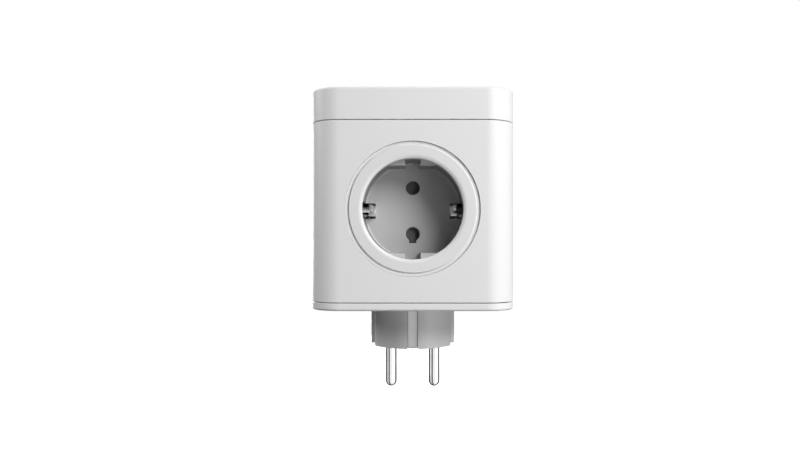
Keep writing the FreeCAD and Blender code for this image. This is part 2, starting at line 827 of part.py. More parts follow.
def inner_screws():
    """Four long screws that clamp the contact blocks, and four short ones that hold the board."""
    screws = []
    low = "socket_level - block_gap - block_height"
    top = "socket_level + block_gap + block_height"
    for x, y in corner_places("clamp_place"):
        shank = rod("clamp_radius - 0.05", "2 * (block_gap + block_height)", x, y, low)
        head = rod("clamp_head_radius", "clamp_head_height", x, y, top)
        slot = box("3.4", "drive_slot_wide", "1", x, y, f"{top} + clamp_head_height - drive_slot_deep")
        screws.append(cut(fused(shank, head), slot))
    for x, y in corner_places("board_screw_place"):
        shank = rod("board_screw_radius", "board_screw_length + 0.1", x, y, "board_bottom - 0.1")
        head = rod("board_head_radius", "board_head_height", x, y, "board_bottom - board_head_height")
        slot = box("2.8", "0.5", "0.7", x, y, "board_bottom - board_head_height - 0.1")
        screws.append(cut(fused(shank, head), slot))
    keep(grouped("inner", screws), "inner_screws")


def wires():
    """Insulated wires in the free corners of the housing, between the plug, the bars and the board."""
    under = value("board_bottom") - 0.1
    pin_top = value("plug_pin_top") - 2.4
    pin = value("pin_place")
    bus_top = value("socket_level + bus_offset") + 12.0
    bus_low = value("socket_level - bus_offset") - 12.6
    ring = value("ring_outer")
    bow = value("earth_strip_outer")
    lug_under = value("socket_level - ring_height / 2 - lug_thick") - 0.05
    routes = {
        "live_wires": (
            (1.25, [
                (-pin, 0, pin_top), (-pin, 0, 24.0), (-17.0, -4.0, 28.0), (-25.5, -10.0, 29.0),
                (-26.0, -25.0, 32.0), (-26.0, -25.0, 84.0), (-22.0, -24.5, 88.5), (-22.0, -24.5, under),
            ]),
            (1.25, [
                (0.0, -1.7, bus_top - 3.5), (0.0, -1.7, 85.0), (-8.0, -14.0, 87.5), (-8.0, -14.0, under),
            ]),
        ),
        "neutral_wires": (
            (0.8, [
                (pin, 3.3, pin_top + 1.0), (pin, 3.3, 26.0), (24.0, -3.0, 28.5), (26.0, -12.0, 30.0),
                (26.0, -25.0, 33.0), (26.0, -25.0, 84.0), (24.0, -24.5, 88.5), (24.0, -24.5, under),
            ]),
            (1.0, [
                (pin, 0, pin_top), (pin, 0, 22.0), (6.5, -2.5, 28.0), (0.0, -1.45, 30.0),
                (0.0, -1.45, bus_low + 3.6),
            ]),
        ),
        "earth_wire": (
            (1.25, [
                (0.0, bow - 6.0, value("earth_bow_level") + 1.8), (9.0, 13.0, 27.5), (17.0, 25.5, 29.5),
                (25.0, 25.5, 33.0), (ring + 1.6, ring + 1.6, 46.0), (ring + 1.6, ring + 1.6, lug_under),
            ]),
        ),
    }
    for name, runs in routes.items():
        tubes = [swept_tube(points, radius) for radius, points in runs]
        keep(shaped(Part.makeCompound(tubes), f"{name}_runs"), name)


# ---------------------------------------------------------------- metering head


def under_board(wide, deep, high, x, y):
    return box(wide, deep, high, x, y, f"board_bottom - ({high})")


def meter_board():
    board_top = "board_bottom + board_thick"
    board = square_plate("board_blank", "board_side", "board_corner", "board_bottom", board_top)
    low = "board_bottom - 1"
    holes = [rod("board_hole_radius", "4", x, y, low) for x, y in corner_places("board_screw_place")]
    vias = [rod("via_radius", "4", f"{step} * via_pitch", "via_row", low) for step in range(-4, 5)]
    keep(cut(board, *holes, *vias), "meter_board")


def gull_wing_chip(x, y, wide, deep, high, legs, pitch, sides):
    """A flat package whose bent legs leave it on the given quarter-turned sides."""
    floor = value("board_bottom + board_thick")
    edge = -deep / 2
    leg_wide = 0.3 * pitch + 0.1
    pieces = []
    for quarter in sides:
        for leg in range(legs):
            left = (leg - (legs - 1) / 2) * pitch - 0.15
            foot = Part.makeBox(leg_wide, 1.0, 0.15, Vector(left, edge - 1.0, 0))
            riser = Part.makeBox(leg_wide, 0.55, 0.15, Vector(left, edge - 0.5, high / 2))
            upright = Part.makeBox(leg_wide, 0.15, high / 2 + 0.15, Vector(left, edge - 0.6, 0))
            wing = foot.fuse([riser, upright])
            wing.rotate(Vector(), Vector(0, 0, 1), 90 * quarter)
            wing.translate(Vector(x, y, floor))
            pieces.append(wing)
    package = Part.makeBox(wide, deep, high, Vector(x - wide / 2, y - deep / 2, floor + 0.1))
    return package.fuse(pieces)


def board_parts():
    """What stands on the board's two faces, each piece at its own place on it."""
    controller = gull_wing_chip(28.5, -6.0, 7.0, 7.0, 1.2, 8, 0.8, (0, 1, 2, 3))
    converter = gull_wing_chip(-27.5, -6.0, 4.0, 8.0, 1.4, 4, 1.0, (0, 2))
    keep(shaped(Part.makeCompound([controller, converter]), "packages"), "meter_chips")
    top = "board_bottom + board_thick"
    crystal_can = fused(
        box("4.4", "3.0", "2.8", "29.0", "3.0", top),
        rod("1.5", "2.8", "26.8", "3.0", top),
        rod("1.5", "2.8", "31.2", "3.0", top),
    )
    keep(crystal_can, "crystal")
    cell = fused(
        rod("6.2", "0.5", "28.0", "-18.0", f"{top} + 0.2"),
        rod("5.8", "2.0", "28.0", "-18.0", f"{top} + 0.2"),
        box("3", "1", "0.3", "28.0", "-12.6", top),
    )
    keep(cell, "backup_cell")
    keep(under_board("17.5", "8.0", "10.5", "6.0", "20.0"), "supply_capacitor")
    buffer_can = fused(
        rod("4.0", "9.6", "-14.0", "20.0", "board_bottom - 10.0"),
        rod("3.7", "0.5", "-14.0", "20.0", "board_bottom - 0.5"),
    )
    keep(buffer_can, "buffer_capacitor")
    varistor = fused(
        rod("5.0", "3.6", "22.0", "-12.0", "board_bottom - 6.4", ALONG_Y),
        rod("0.4", "3.0", "19.5", "-10.2", "board_bottom - 3.0"),
        rod("0.4", "3.0", "24.5", "-10.2", "board_bottom - 3.0"),
    )
    keep(varistor, "varistor")
    shunt = fused(
        under_board("14.0", "4.0", "0.9", "-14.0", "-19.0"),
        under_board("3.0", "4.0", "2.2", "-20.0", "-19.0"),
        under_board("3.0", "4.0", "2.2", "-8.0", "-19.0"),
    )
    keep(shunt, "shunt")


def display_parts():
    y = "window_middle"
    window = box("window_wide", "window_deep", "window_thick", 0, y, "cap_top - window_thick")
    keep(window, "display_window")
    cell = fused(
        box("glass_wide", "glass_deep", "glass_step", 0, y, "glass_low"),
        box("glass_wide", "glass_deep - 4", "glass_step", 0, y, "glass_low + glass_step"),
        box("glass_wide - 4", "glass_deep - 6", "0.25", 0, y, "glass_low + 2 * glass_step"),
    )
    keep(cell, "display_module")
    light_low = "glass_low - backlight_thick"
    keep(box("backlight_wide", "backlight_deep", "backlight_thick", 0, y, light_low), "display_backlight")
    board_top = "board_bottom + board_thick"
    strip_high = f"glass_low - ({board_top})"
    strips = [
        box("strip_wide", "strip_thick", strip_high, 0, f"{y} + {end} * strip_place", board_top)
        for end in (-1, 1)
    ]
    keep(grouped("strips", strips), "connector_strips")


def buttons():
    """Three push buttons, each over the plunger of its own switch on the board."""
    floor = "board_bottom + board_thick"
    y = "button_row"
    flange_top = "cap_top - wall - button_gap"
    stem_low = f"{floor} + switch_height + button_lift"
    plunger_low = f"{floor} + switch_height - plunger_sunk"
    switch_bodies = []
    for name, x in button_places():
        cap_high = f"cap_top + button_proud - ({flange_top}) + 0.1"
        cap = fused(
            rod("button_radius", cap_high, x, y, f"{flange_top} - 0.1"),
            rod("button_radius + button_flange", "button_flange", x, y, f"{flange_top} - button_flange"),
            rod("button_stem_radius", f"{flange_top} - ({stem_low})", x, y, stem_low),
        )
        dish = doc.addObject("Part::Sphere", "dish")
        bind(dish, Radius="dish_radius")
        put(dish, x, y, "cap_top + button_proud + dish_radius - dish_depth")
        keep(cut(cap, dish), f"button_{name}")
        plunger = rod("plunger_radius", "plunger_sunk + plunger_proud", x, y, plunger_low)
        keep(plunger, f"switch_plunger_{name}")
        body = box("switch_side", "switch_side", "switch_height", x, y, floor)
        legs = []
        for end in (-1, 1):
            leg_y = f"{y} + {end} * switch_leg_place"
            legs.append(box("switch_leg_wide", "switch_leg_deep", "switch_leg_thick", x, leg_y, floor))
        well = rod("plunger_radius + 0.1", "3", x, y, f"{plunger_low} - 0.8")
        switch_bodies.append(cut(fused(body, *legs), well))
    keep(grouped("switches", switch_bodies), "switch_bodies")


def main():
    main_housing()
    base_plate()
    base_screws()
    top_cap()
    plug_body()
    plug_pins()
    plug_earth_bow()
    for side, name in enumerate(SIDES):
        socket_insert(side, name)
        socket_floor(side, name)
        shutter(side, name)
        shutter_spring(side, name)
        shutter_retainer(side, name)
        earth_clips(side, name)
    earth_ring()
    bus_bar("live", 1)
    bus_bar("neutral", -1)
    contact_block("upper", 1)
    contact_block("lower", -1)
    inner_screws()
    wires()
    meter_board()
    board_parts()
    display_parts()
    buttons()
    doc.recompute()
    for piece in doc.Objects:
        if "Invalid" in piece.State or "Error" in piece.State:
            raise RuntimeError(f"{piece.Label} failed: {piece.State}")
    for piece in subparts:
        if piece.Shape.isNull() or not piece.Shape.isValid():
            raise RuntimeError(f"{piece.Label} has no valid shape")
    os.makedirs("parts", exist_ok=True)
    for piece in subparts:
        piece.Shape.exportStep(f"parts/{piece.Label}.step")
        print(f"{piece.Label:26s} {len(piece.Shape.Solids)} solid(s) {piece.Shape.Volume:10.1f} mm3")
    print(len(subparts), "sub-parts")


main()
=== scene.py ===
# %% [markdown]
# # A plug-through power meter
# The real object is a white moulded cube. A mains plug stands out of its base, a recessed mains
# socket sits in each of its four sides, and a cap on its far end holds the meter: a display under a
# clear window, and three push buttons. This lesson loads the engineering model as a fixed frame and
# makes every surface that is seen anew, with the small roundings and finishes of a moulded product.

import json
import math

import bmesh
import bpy
from mathutils import Matrix, Vector


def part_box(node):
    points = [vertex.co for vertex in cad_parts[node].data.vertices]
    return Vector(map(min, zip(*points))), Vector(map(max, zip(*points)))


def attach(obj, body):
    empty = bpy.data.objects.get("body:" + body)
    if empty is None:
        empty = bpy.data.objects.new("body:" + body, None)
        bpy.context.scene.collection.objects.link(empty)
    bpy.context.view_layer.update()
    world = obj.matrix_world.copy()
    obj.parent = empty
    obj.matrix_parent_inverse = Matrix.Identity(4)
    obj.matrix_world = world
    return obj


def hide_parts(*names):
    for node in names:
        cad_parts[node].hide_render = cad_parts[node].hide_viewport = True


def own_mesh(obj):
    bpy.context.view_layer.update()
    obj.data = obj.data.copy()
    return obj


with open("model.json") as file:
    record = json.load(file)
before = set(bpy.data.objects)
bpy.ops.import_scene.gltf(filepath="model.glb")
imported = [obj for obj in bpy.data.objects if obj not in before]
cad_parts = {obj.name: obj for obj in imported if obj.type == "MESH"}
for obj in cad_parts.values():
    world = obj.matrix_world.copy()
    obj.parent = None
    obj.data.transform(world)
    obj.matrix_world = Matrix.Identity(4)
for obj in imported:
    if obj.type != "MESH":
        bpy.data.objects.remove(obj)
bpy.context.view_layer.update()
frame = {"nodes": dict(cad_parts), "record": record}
MM = 0.001

# %% [markdown]
# ## Places and sizes
# The boxes of the frame's nodes say where each piece is. Sizes that a box can't tell, such as the width
# of a socket's recess, are named beside the piece that they shape. Lamps and camera are given directly.

# %% Read the places of the main pieces
housing_low, housing_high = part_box("main_housing")
cap_low, cap_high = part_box("top_cap")
base_low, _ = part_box("base_plate")
insert_low, insert_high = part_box("socket_insert_front")
plug_low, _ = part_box("plug_body")
half_side = housing_high[0]
socket_level = (insert_low[2] + insert_high[2]) / 2
flange_radius = (insert_high[0] - insert_low[0]) / 2
insert_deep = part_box("socket_floor_front")[1][1] - insert_low[1]
corner_radius = 11.6 * MM
wall = 2.0 * MM
parting_gap = 0.3 * MM
OPENING = 26.1 * MM
PIN_OFFSET = 9.5 * MM
base_top = housing_low[2] - parting_gap
cap_bottom = housing_high[2] + parting_gap
print("socket axis at", round(socket_level / MM, 2), "mm; half side", round(half_side / MM, 2), "mm")

# %% [markdown]
# ## Turning a shape into a finished piece
# A shape is made as loose geometry first. `plain` bakes its modifiers into one mesh, `smooth` decides
# which edges stay sharp, and `finished` gives it a material and ties it to the body it moves with.

# %% Helpers for meshes
SIDES = ("front", "right", "back", "left")


def new_object(name, mesh):
    made = bpy.data.objects.new(name, mesh)
    bpy.context.scene.collection.objects.link(made)
    return made


def from_bmesh(name, shape):
    mesh = bpy.data.meshes.new(name)
    shape.to_mesh(mesh)
    shape.free()
    return new_object(name, mesh)


def plain(piece):
    """Bake every modifier into the mesh and drop them."""
    graph = bpy.context.evaluated_depsgraph_get()
    baked = bpy.data.meshes.new_from_object(piece.evaluated_get(graph), depsgraph=graph)
    piece.modifiers.clear()
    piece.data = baked
    return piece


def smooth(piece, sharp_angle=32):
    """Smooth shading whose normals follow the big faces, with sharp edges past an angle."""
    piece.data.shade_smooth()
    piece.data.set_sharp_from_angle(angle=math.radians(sharp_angle))
    weighting = piece.modifiers.new("weighting", "WEIGHTED_NORMAL")
    weighting.keep_sharp = True
    weighting.weight = 80
    return plain(piece)


def discard(*pieces):
    for piece in pieces:
        bpy.data.objects.remove(piece)


def joined(name, *pieces):
    """Several meshes as one object; each stays a closed shell of its own."""
    shape = bmesh.new()
    for piece in pieces:
        shape.from_mesh(piece.data)
    discard(*pieces)
    return from_bmesh(name, shape)


def welded(name, pieces):
    """Join pieces into the first of them, keeping the shading that each already has."""
    with bpy.context.temp_override(
        active_object=pieces[0], selected_editable_objects=pieces, selected_objects=pieces
    ):
        bpy.ops.object.join()
    pieces[0].name = name
    return pieces[0]


def turned(piece, name, quarter_turns):
    """A copy turned about the cube's upright axis, with the turn in its mesh."""
    mesh = piece.data.copy()
    mesh.transform(Matrix.Rotation(math.radians(90 * quarter_turns), 4, "Z"))
    return new_object(name, mesh)


def finished(piece, material, body, slot, *nodes):
    piece.data.materials.clear()
    piece.data.materials.append(material)
    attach(piece, body)
    if nodes:
        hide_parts(*nodes)
    print(f"{piece.name}: {len(piece.data.polygons)} faces on {body}")
    return piece


# %% [markdown]
# ## Three ways to make a closed shell
# A turned piece is a profile spun about an axis. A moulded box with round corners is a stack of
# rounded squares, joined ring to ring. A flat piece is an outline with thickness. The three
# functions below share one loft, so each shell comes out closed, with its faces outward.

# %% Loft, lathe and stack
AROUND = 160
CORNER_STEPS = 20


def loft(name, rings, closed=False):
    """Join rings of points. Open ends are filled; a closed loft joins its last ring to its first."""
    shape = bmesh.new()
    rows = [[shape.verts.new(point) for point in ring] for ring in rings]
    pairs = list(zip(rows, rows[1:]))
    if closed:
        pairs.append((rows[-1], rows[0]))
    for one, other in pairs:
        count = len(one)
        for step in range(count):
            after = (step + 1) % count
            shape.faces.new((one[step], one[after], other[after], other[step]))
    if not closed:
        shape.faces.new(rows[0])
        shape.faces.new(rows[-1])
    bmesh.ops.recalc_face_normals(shape, faces=shape.faces)
    return from_bmesh(name, shape)


def circle(radius, level, centre=(0, 0), around=AROUND):
    turns = (2 * math.pi * step / around for step in range(around))
    return [(centre[0] + radius * math.cos(t), centre[1] + radius * math.sin(t), level) for t in turns]


def lathe(name, profile, centre=(0, 0), around=AROUND):
    """A profile of (radius, height) spun about an upright axis."""
    return loft(name, [circle(radius, level, centre, around) for radius, level in profile])


def rounded_square(half, corner, level):
    points = []
    for quarter in range(4):
        start = quarter * math.pi / 2
        reach = half - corner
        centre = Matrix.Rotation(start, 2) @ Vector((reach, reach))
        for step in range(CORNER_STEPS + 1):
            turn = start + step / CORNER_STEPS * math.pi / 2
            points.append((centre.x + corner * math.cos(turn), centre.y + corner * math.sin(turn), level))
    return points


def quarter_round(start, end, centre, steps=5):
    """Points on a small arc from start to end, both a (distance, level) pair."""
    first = Vector(start) - Vector(centre)
    last = Vector(end) - Vector(centre)
    points = []
    for step in range(steps + 1):
        along = math.pi / 2 * step / steps
        points.append(tuple(Vector(centre) + first * math.cos(along) + last * math.sin(along)))
    return points


def facing_front(piece, depth_origin):
    """Lay a piece that was turned about +Z on the front socket's axis, its top towards -Y."""
    to_front = Matrix.Rotation(math.radians(90), 4, "X")
    place = Matrix.Translation((0, depth_origin, socket_level))
    piece.data.transform(place @ to_front)
    return piece


def carve(piece, *tools):
    """Take closed tools out of a closed piece."""
    for tool in tools:
        step = piece.modifiers.new("carve", "BOOLEAN")
        step.operation = "DIFFERENCE"
        step.solver = "EXACT"
        step.object = tool
    plain(piece)
    discard(*tools)
    return piece


def block(name, low, high, bevel=0.0):
    shape = bmesh.new()
    bmesh.ops.create_cube(shape, size=1)
    low, high = Vector(low), Vector(high)
    for vertex in shape.verts:
        vertex.co = Vector(low[axis] if vertex.co[axis] < 0 else high[axis] for axis in range(3))
    if bevel:
        bmesh.ops.bevel(shape, geom=shape.edges[:], offset=bevel, segments=3, profile=0.5, affect="EDGES")
    return from_bmesh(name, shape)


print("helpers ready")

# %% [markdown]
# ## Shader sums as plain Python
# A material's pattern is arithmetic on noise. `Link` wraps one output of a node and overloads the
# operators, so `1 - mask` adds its own Math node. `Finish` starts a material and adds any other node.

# %% A small language for materials


class Link:
    def __init__(self, finish, socket):
        self.finish = finish
        self.socket = socket

    def __add__(self, other):
        return self.finish.sum("ADD", self, other)

    def __radd__(self, other):
        return self.finish.sum("ADD", other, self)

    def __sub__(self, other):
        return self.finish.sum("SUBTRACT", self, other)

    def __rsub__(self, other):
        return self.finish.sum("SUBTRACT", other, self)

    def __mul__(self, other):
        return self.finish.sum("MULTIPLY", self, other)

    def __rmul__(self, other):
        return self.finish.sum("MULTIPLY", other, self)

    def __gt__(self, other):
        return self.finish.sum("GREATER_THAN", self, other)

    def __lt__(self, other):
        return self.finish.sum("LESS_THAN", self, other)

    def __abs__(self):
        return self.finish.sum("ABSOLUTE", self)


class Finish:
    def __init__(self, name):
        self.material = bpy.data.materials.new(name)
        self.material.use_nodes = True
        self.tree = self.material.node_tree
        self.tree.nodes.clear()
        self.place = self.node("ShaderNodeTexCoord", output="Object")

    def node(self, kind, settings=None, inputs=None, output=0):
        made = self.tree.nodes.new(kind)
        for key, setting in (settings or {}).items():
            if key == "stops":
                ramp = made.color_ramp.elements
                while len(ramp) < len(setting):
                    ramp.new(0.5)
                for stop, (position, colour) in zip(ramp, setting):
                    stop.position = position
                    stop.color = colour
            else:
                setattr(made, key, setting)
        for key, given in (inputs or {}).items():
            self.feed(made.inputs[key], given)
        return Link(self, made.outputs[output])

    def feed(self, socket, given):
        if isinstance(given, Link):
            self.tree.links.new(given.socket, socket)
        elif isinstance(given, tuple) and len(given) == 3 and socket.type == "RGBA":
            socket.default_value = (*given, 1)
        else:
            socket.default_value = given

    def sum(self, operation, first, second=0.0):
        return self.node("ShaderNodeMath", {"operation": operation}, {0: first, 1: second})

    def noise(self, size, detail=2.0, stretch=None):
        """Noise from 0 to 1 whose blobs are about a size across, in metres."""
        place = self.place
        if stretch:
            place = self.node("ShaderNodeMapping", inputs={"Vector": place, "Scale": stretch})
        return self.node("ShaderNodeTexNoise", inputs={"Vector": place, "Scale": 1 / size, "Detail": detail})

    def mix(self, factor, first, second):
        """From one colour to another by a factor."""
        settings = {"data_type": "RGBA", "clamp_factor": True}
        return self.node("ShaderNodeMix", settings, {0: factor, 6: first, 7: second}, output=2)

    def parts_of(self, vector):
        """The x, y and z of a vector, as three links."""
        split = self.tree.nodes.new("ShaderNodeSeparateXYZ")
        self.feed(split.inputs[0], vector)
        return [Link(self, split.outputs[axis]) for axis in range(3)]

    def bump(self, height, depth, strength=1.0):
        settings = {"Height": height, "Distance": depth, "Strength": strength}
        return self.node("ShaderNodeBump", inputs=settings)

    def surface(self, **sockets):
        """The Principled shader; a socket's name is given with underscores for its spaces."""
        shader = self.tree.nodes.new("ShaderNodeBsdfPrincipled")
        for name, given in sockets.items():
            self.feed(shader.inputs[name.replace("_", " ")], given)
        end = self.tree.nodes.new("ShaderNodeOutputMaterial")
        self.tree.links.new(shader.outputs[0], end.inputs["Surface"])
        return self.material


print("material language ready")

# %% [markdown]
# ## Moulded plastics and plated metals
# An injection mould is spark-eroded, which leaves a fine pebbled grain that scatters the light. So a
# moulded plastic here is a nearly even colour, with a slow drift in tone, a grain in the bump and a
# roughness that varies a little. Plated and drawn metals carry fine lines along one direction.
#
# The socket and plug plastics are the exceptions. The socket's colour is toned darker with depth, to stand
# for the shade in a recess, and the plug's colour is greyer than the casing's white all over, as painted
# shade for the shade under the cube. A real moulding would be one colour all over, and these tones stay under
# any other light.

# %% Two families of finish
SHADE_STARTS = 1.6 * MM
SHADE_BLEND = 4.4 * MM
FLOOR_STARTS = 16 * MM


def shade(colour, factor):
    return tuple(min(1.0, part * factor) for part in colour)


def moulded(name, colour, roughness, grain=0.22 * MM, depth=0.006 * MM, drift=0.03, sunk=()):
    """Moulded plastic; sunk gives the painted greys of the deep walls and of the floor behind them."""
    finish = Finish(name)
    slow = finish.noise(22 * MM, 3.0)
    pebbles = finish.noise(grain, 4.0)
    tone = finish.mix(slow, shade(colour, 1 - drift), shade(colour, 1 + drift))
    speckle = finish.mix(pebbles, shade(colour, 0.97), shade(colour, 1.03))
    base_colour = finish.mix(0.5, tone, speckle)
    if sunk:
        x, y, _ = finish.parts_of(finish.place)
        below_face = half_side - finish.sum("MAXIMUM", abs(x), abs(y))
        in_wall = (below_face - SHADE_STARTS) * (1 / SHADE_BLEND)
        on_floor = (below_face - FLOOR_STARTS) * (1 / MM)
        base_colour = finish.mix(in_wall, base_colour, (sunk[0],) * 3)
        base_colour = finish.mix(on_floor, base_colour, (sunk[1],) * 3)
    return finish.surface(
        Base_Color=base_colour,
        Roughness=roughness - 0.06 + 0.12 * finish.noise(1.5 * MM, 3.0),
        Normal=finish.bump(pebbles, depth),
    )


def plated(name, colour, roughness, lines=(1, 1, 0.04), depth=0.002 * MM):
    finish = Finish(name)
    drawn = finish.noise(0.12 * MM, 3.0, lines)
    cloud = finish.noise(2.5 * MM, 3.0)
    return finish.surface(
        Base_Color=finish.mix(cloud, shade(colour, 0.92), shade(colour, 1.05)),
        Metallic=1.0,
        Roughness=roughness + 0.10 * drawn,
        Normal=finish.bump(drawn, depth),
    )


casing_white = moulded("casing_white", (0.80, 0.80, 0.80), 0.46)
socket_white = moulded(
    "socket_white", (0.78, 0.78, 0.78), 0.40, 0.18 * MM, 0.004 * MM, sunk=(0.20, 0.54)
)
# the plug is the casing's white plastic; its colour is made greyer all over as painted shade, for the shade
# under the cube
plug_white_painted_shade = moulded("plug_white_painted_shade", (0.72, 0.72, 0.72), 0.42)
shutter_grey = moulded("shutter_grey", (0.06, 0.06, 0.063), 0.4)
insulator_ivory = moulded("insulator_ivory", (0.70, 0.68, 0.62), 0.5)
button_grey = moulded("button_grey", (0.30, 0.31, 0.33), 0.34, 0.15 * MM, 0.003 * MM)
switch_black = moulded("switch_black", (0.04, 0.04, 0.042), 0.5)
diffuser_milk = moulded("diffuser_milk", (0.85, 0.87, 0.88), 0.3)
chip_black = moulded("chip_black", (0.03, 0.03, 0.032), 0.55)
box_yellow = moulded("box_yellow", (0.70, 0.58, 0.10), 0.35)
sleeve_dark = moulded("sleeve_dark", (0.03, 0.045, 0.09), 0.3)
epoxy_blue = moulded("epoxy_blue", (0.05, 0.14, 0.42), 0.25, 0.6 * MM, 0.02 * MM)
insulation_brown = moulded("insulation_brown", (0.16, 0.07, 0.03), 0.35)
insulation_blue = moulded("insulation_blue", (0.03, 0.12, 0.42), 0.35)
pin_nickel = plated("pin_nickel", (0.84, 0.83, 0.82), 0.03)
clip_nickel = plated("clip_nickel", (0.92, 0.91, 0.90), 0.24)
strip_nickel = plated("strip_nickel", (0.56, 0.56, 0.55), 0.34)
contact_brass = plated("contact_brass", (0.78, 0.60, 0.26), 0.2)
screw_zinc = plated("screw_zinc", (0.60, 0.61, 0.63), 0.26)
spring_steel = plated("spring_steel", (0.52, 0.52, 0.53), 0.3)
can_nickel = plated("can_nickel", (0.68, 0.68, 0.69), 0.24)
shunt_alloy = plated("shunt_alloy", (0.58, 0.47, 0.38), 0.36)
print(len(bpy.data.materials), "finishes made")

# %% [markdown]
# ## The housing
# The housing is a square tube with round corners: one wall section carried round a rounded square.
# That is a rule, so Geometry Nodes make it. A Quadrilateral curve is filleted, the wall's section is
# swept along it, and two round cutters that flare at their ends bore the four openings, so that each
# opening's edge comes out with its small chamfer.

# %% A helper that builds node trees


class Recipe:
    """A Geometry Nodes tree with named inputs."""

    def __init__(self, name):
        self.tree = bpy.data.node_groups.new(name, "GeometryNodeTree")
        self.sockets = {}
        self.take("Geometry", "NodeSocketGeometry")
        self.tree.interface.new_socket("Geometry", in_out="OUTPUT", socket_type="NodeSocketGeometry")
        self.given = self.tree.nodes.new("NodeGroupInput")

    def take(self, name, kind="NodeSocketFloat"):
        made = self.tree.interface.new_socket(name, in_out="INPUT", socket_type=kind)
        self.sockets[name] = made.identifier

    def input(self, name):
        return self.given.outputs[name]

    def node(self, kind, settings=None, inputs=None, output=0):
        made = self.tree.nodes.new(kind)
        for key, setting in (settings or {}).items():
            setattr(made, key, setting)
        for key, given in (inputs or {}).items():
            if isinstance(given, bpy.types.NodeSocket):
                self.tree.links.new(given, made.inputs[key])
            else:
                made.inputs[key].default_value = given
        return made.outputs[output]

    def sums(self, operation, first, second):
        return self.node("ShaderNodeMath", {"operation": operation}, {0: first, 1: second})

    def ends(self, geometry, material):
        """Realize the instances, set the material and close the tree."""
        real = self.node("GeometryNodeRealizeInstances", inputs={0: geometry})
        painted = self.node("GeometryNodeSetMaterial", inputs={"Geometry": real, "Material": material})
        end = self.tree.nodes.new("NodeGroupOutput")
        self.tree.links.new(painted, end.inputs[0])

    def cook(self, piece, **sizes):
        """Run the tree on a piece with these sizes, and keep the result as a plain mesh."""
        step = piece.modifiers.new(self.tree.name, "NODES")
        step.node_group = self.tree
        for name, size in sizes.items():
            step[self.sockets[name.replace("_", " ")]] = size
        return plain(piece)


# %% The tube recipe and the housing
tube_recipe = Recipe("square tube")
for size_name in ("Side", "Corner", "Opening radius", "Reach", "Level", "Flare"):
    tube_recipe.take(size_name)
square = tube_recipe.node(
    "GeometryNodeCurvePrimitiveQuadrilateral",
    inputs={"Width": tube_recipe.input("Side"), "Height": tube_recipe.input("Side")},
)
rounded = tube_recipe.node(
    "GeometryNodeFilletCurve",
    {"mode": "POLY"},
    {"Curve": square, "Count": CORNER_STEPS, "Radius": tube_recipe.input("Corner")},
)
upright = tube_recipe.node("GeometryNodeSetCurveNormal", {"mode": "Z_UP"}, {0: rounded})
section = tube_recipe.node("GeometryNodeMeshToCurve", inputs={0: tube_recipe.input("Geometry")})
tube = tube_recipe.node("GeometryNodeCurveToMesh", inputs={0: upright, 1: section})
cutters = []
for tilt in ((math.pi / 2, 0, 0), (0, math.pi / 2, 0)):
    bore = tube_recipe.node(
        "GeometryNodeMeshCylinder",
        inputs={
            "Vertices": AROUND,
            "Radius": tube_recipe.input("Opening radius"),
            "Depth": tube_recipe.sums("MULTIPLY", tube_recipe.input("Reach"), 2.2),
        },
    )
    bores = [bore]
    for end in (-1, 1):
        # a cone whose mouth is wider than the bore by its own length, so the chamfer is at 45 degrees
        opening, flare = tube_recipe.input("Opening radius"), tube_recipe.input("Flare")
        wider = tube_recipe.sums("ADD", opening, flare)
        narrower = tube_recipe.sums("SUBTRACT", opening, flare)
        mouth = tube_recipe.node(
            "GeometryNodeMeshCone",
            inputs={
                "Vertices": AROUND,
                "Radius Bottom": wider if end < 0 else narrower,
                "Radius Top": narrower if end < 0 else wider,
                "Depth": tube_recipe.sums("MULTIPLY", tube_recipe.input("Flare"), 2),
            },
        )
        offset = tube_recipe.sums("MULTIPLY", tube_recipe.input("Reach"), end)
        base = tube_recipe.sums("SUBTRACT", offset, tube_recipe.input("Flare"))
        lift = tube_recipe.node("ShaderNodeCombineXYZ", inputs={2: base})
        placed = {"Geometry": mouth, "Translation": lift}
        bores.append(tube_recipe.node("GeometryNodeTransform", inputs=placed))
    height = tube_recipe.node("ShaderNodeCombineXYZ", inputs={2: tube_recipe.input("Level")})
    for one in bores:
        cutters.append(
            tube_recipe.node(
                "GeometryNodeTransform", inputs={"Geometry": one, "Translation": height, "Rotation": tilt}
            )
        )
shell = tube
for cutter in cutters:
    shell = tube_recipe.node(
        "GeometryNodeMeshBoolean",
        {"operation": "DIFFERENCE", "solver": "EXACT"},
        {"Mesh 1": shell, "Mesh 2": cutter},
    )
tube_recipe.ends(shell, casing_white)


def wall_section(low, high, round_size=0.2 * MM):
    """The wall's closed section, its corners rounded: width across the wall, height along it."""
    half = wall / 2
    outline = []
    middle = (low + high) / 2
    tall = (high - low) / 2
    for sx, sy in ((1, 1), (-1, 1), (-1, -1), (1, -1)):
        corner = (sx * (half - round_size), sy * (tall - round_size))
        across = (corner[0] + sx * round_size, corner[1])
        along = (corner[0], corner[1] + sy * round_size)
        first, last = (across, along) if sx * sy > 0 else (along, across)
        outline.extend(quarter_round(first, last, corner, 3))
    shape = bmesh.new()
    # carried round the square, the section's own upward direction points down, so heights are negated
    corners = [shape.verts.new((x, -middle - y, 0)) for x, y in outline]
    for one, other in zip(corners, corners[1:] + corners[:1]):
        shape.edges.new((one, other))
    return from_bmesh("housing", shape)


housing = tube_recipe.cook(
    wall_section(housing_low[2], housing_high[2]),
    Side=2 * half_side - wall,
    Corner=corner_radius - wall / 2,
    Opening_radius=OPENING,
    Reach=half_side,
    Level=socket_level,
    Flare=0.25 * MM,
)
smooth(housing)
finished(housing, casing_white, "body", "housing_plastic", "main_housing")
print("housing size", [round(side / MM, 2) for side in housing.dimensions])

# %% [markdown]
# ## The cap and the base
# Both covers are trays with a collar that slips inside the housing. Each is one stack of rounded
# squares: down the inside, round the collar and up the outside, with the rim rolled over in a small
# arc. The gap left between a cover and the housing is the parting line, and the collar behind it is
# what makes that line dark.

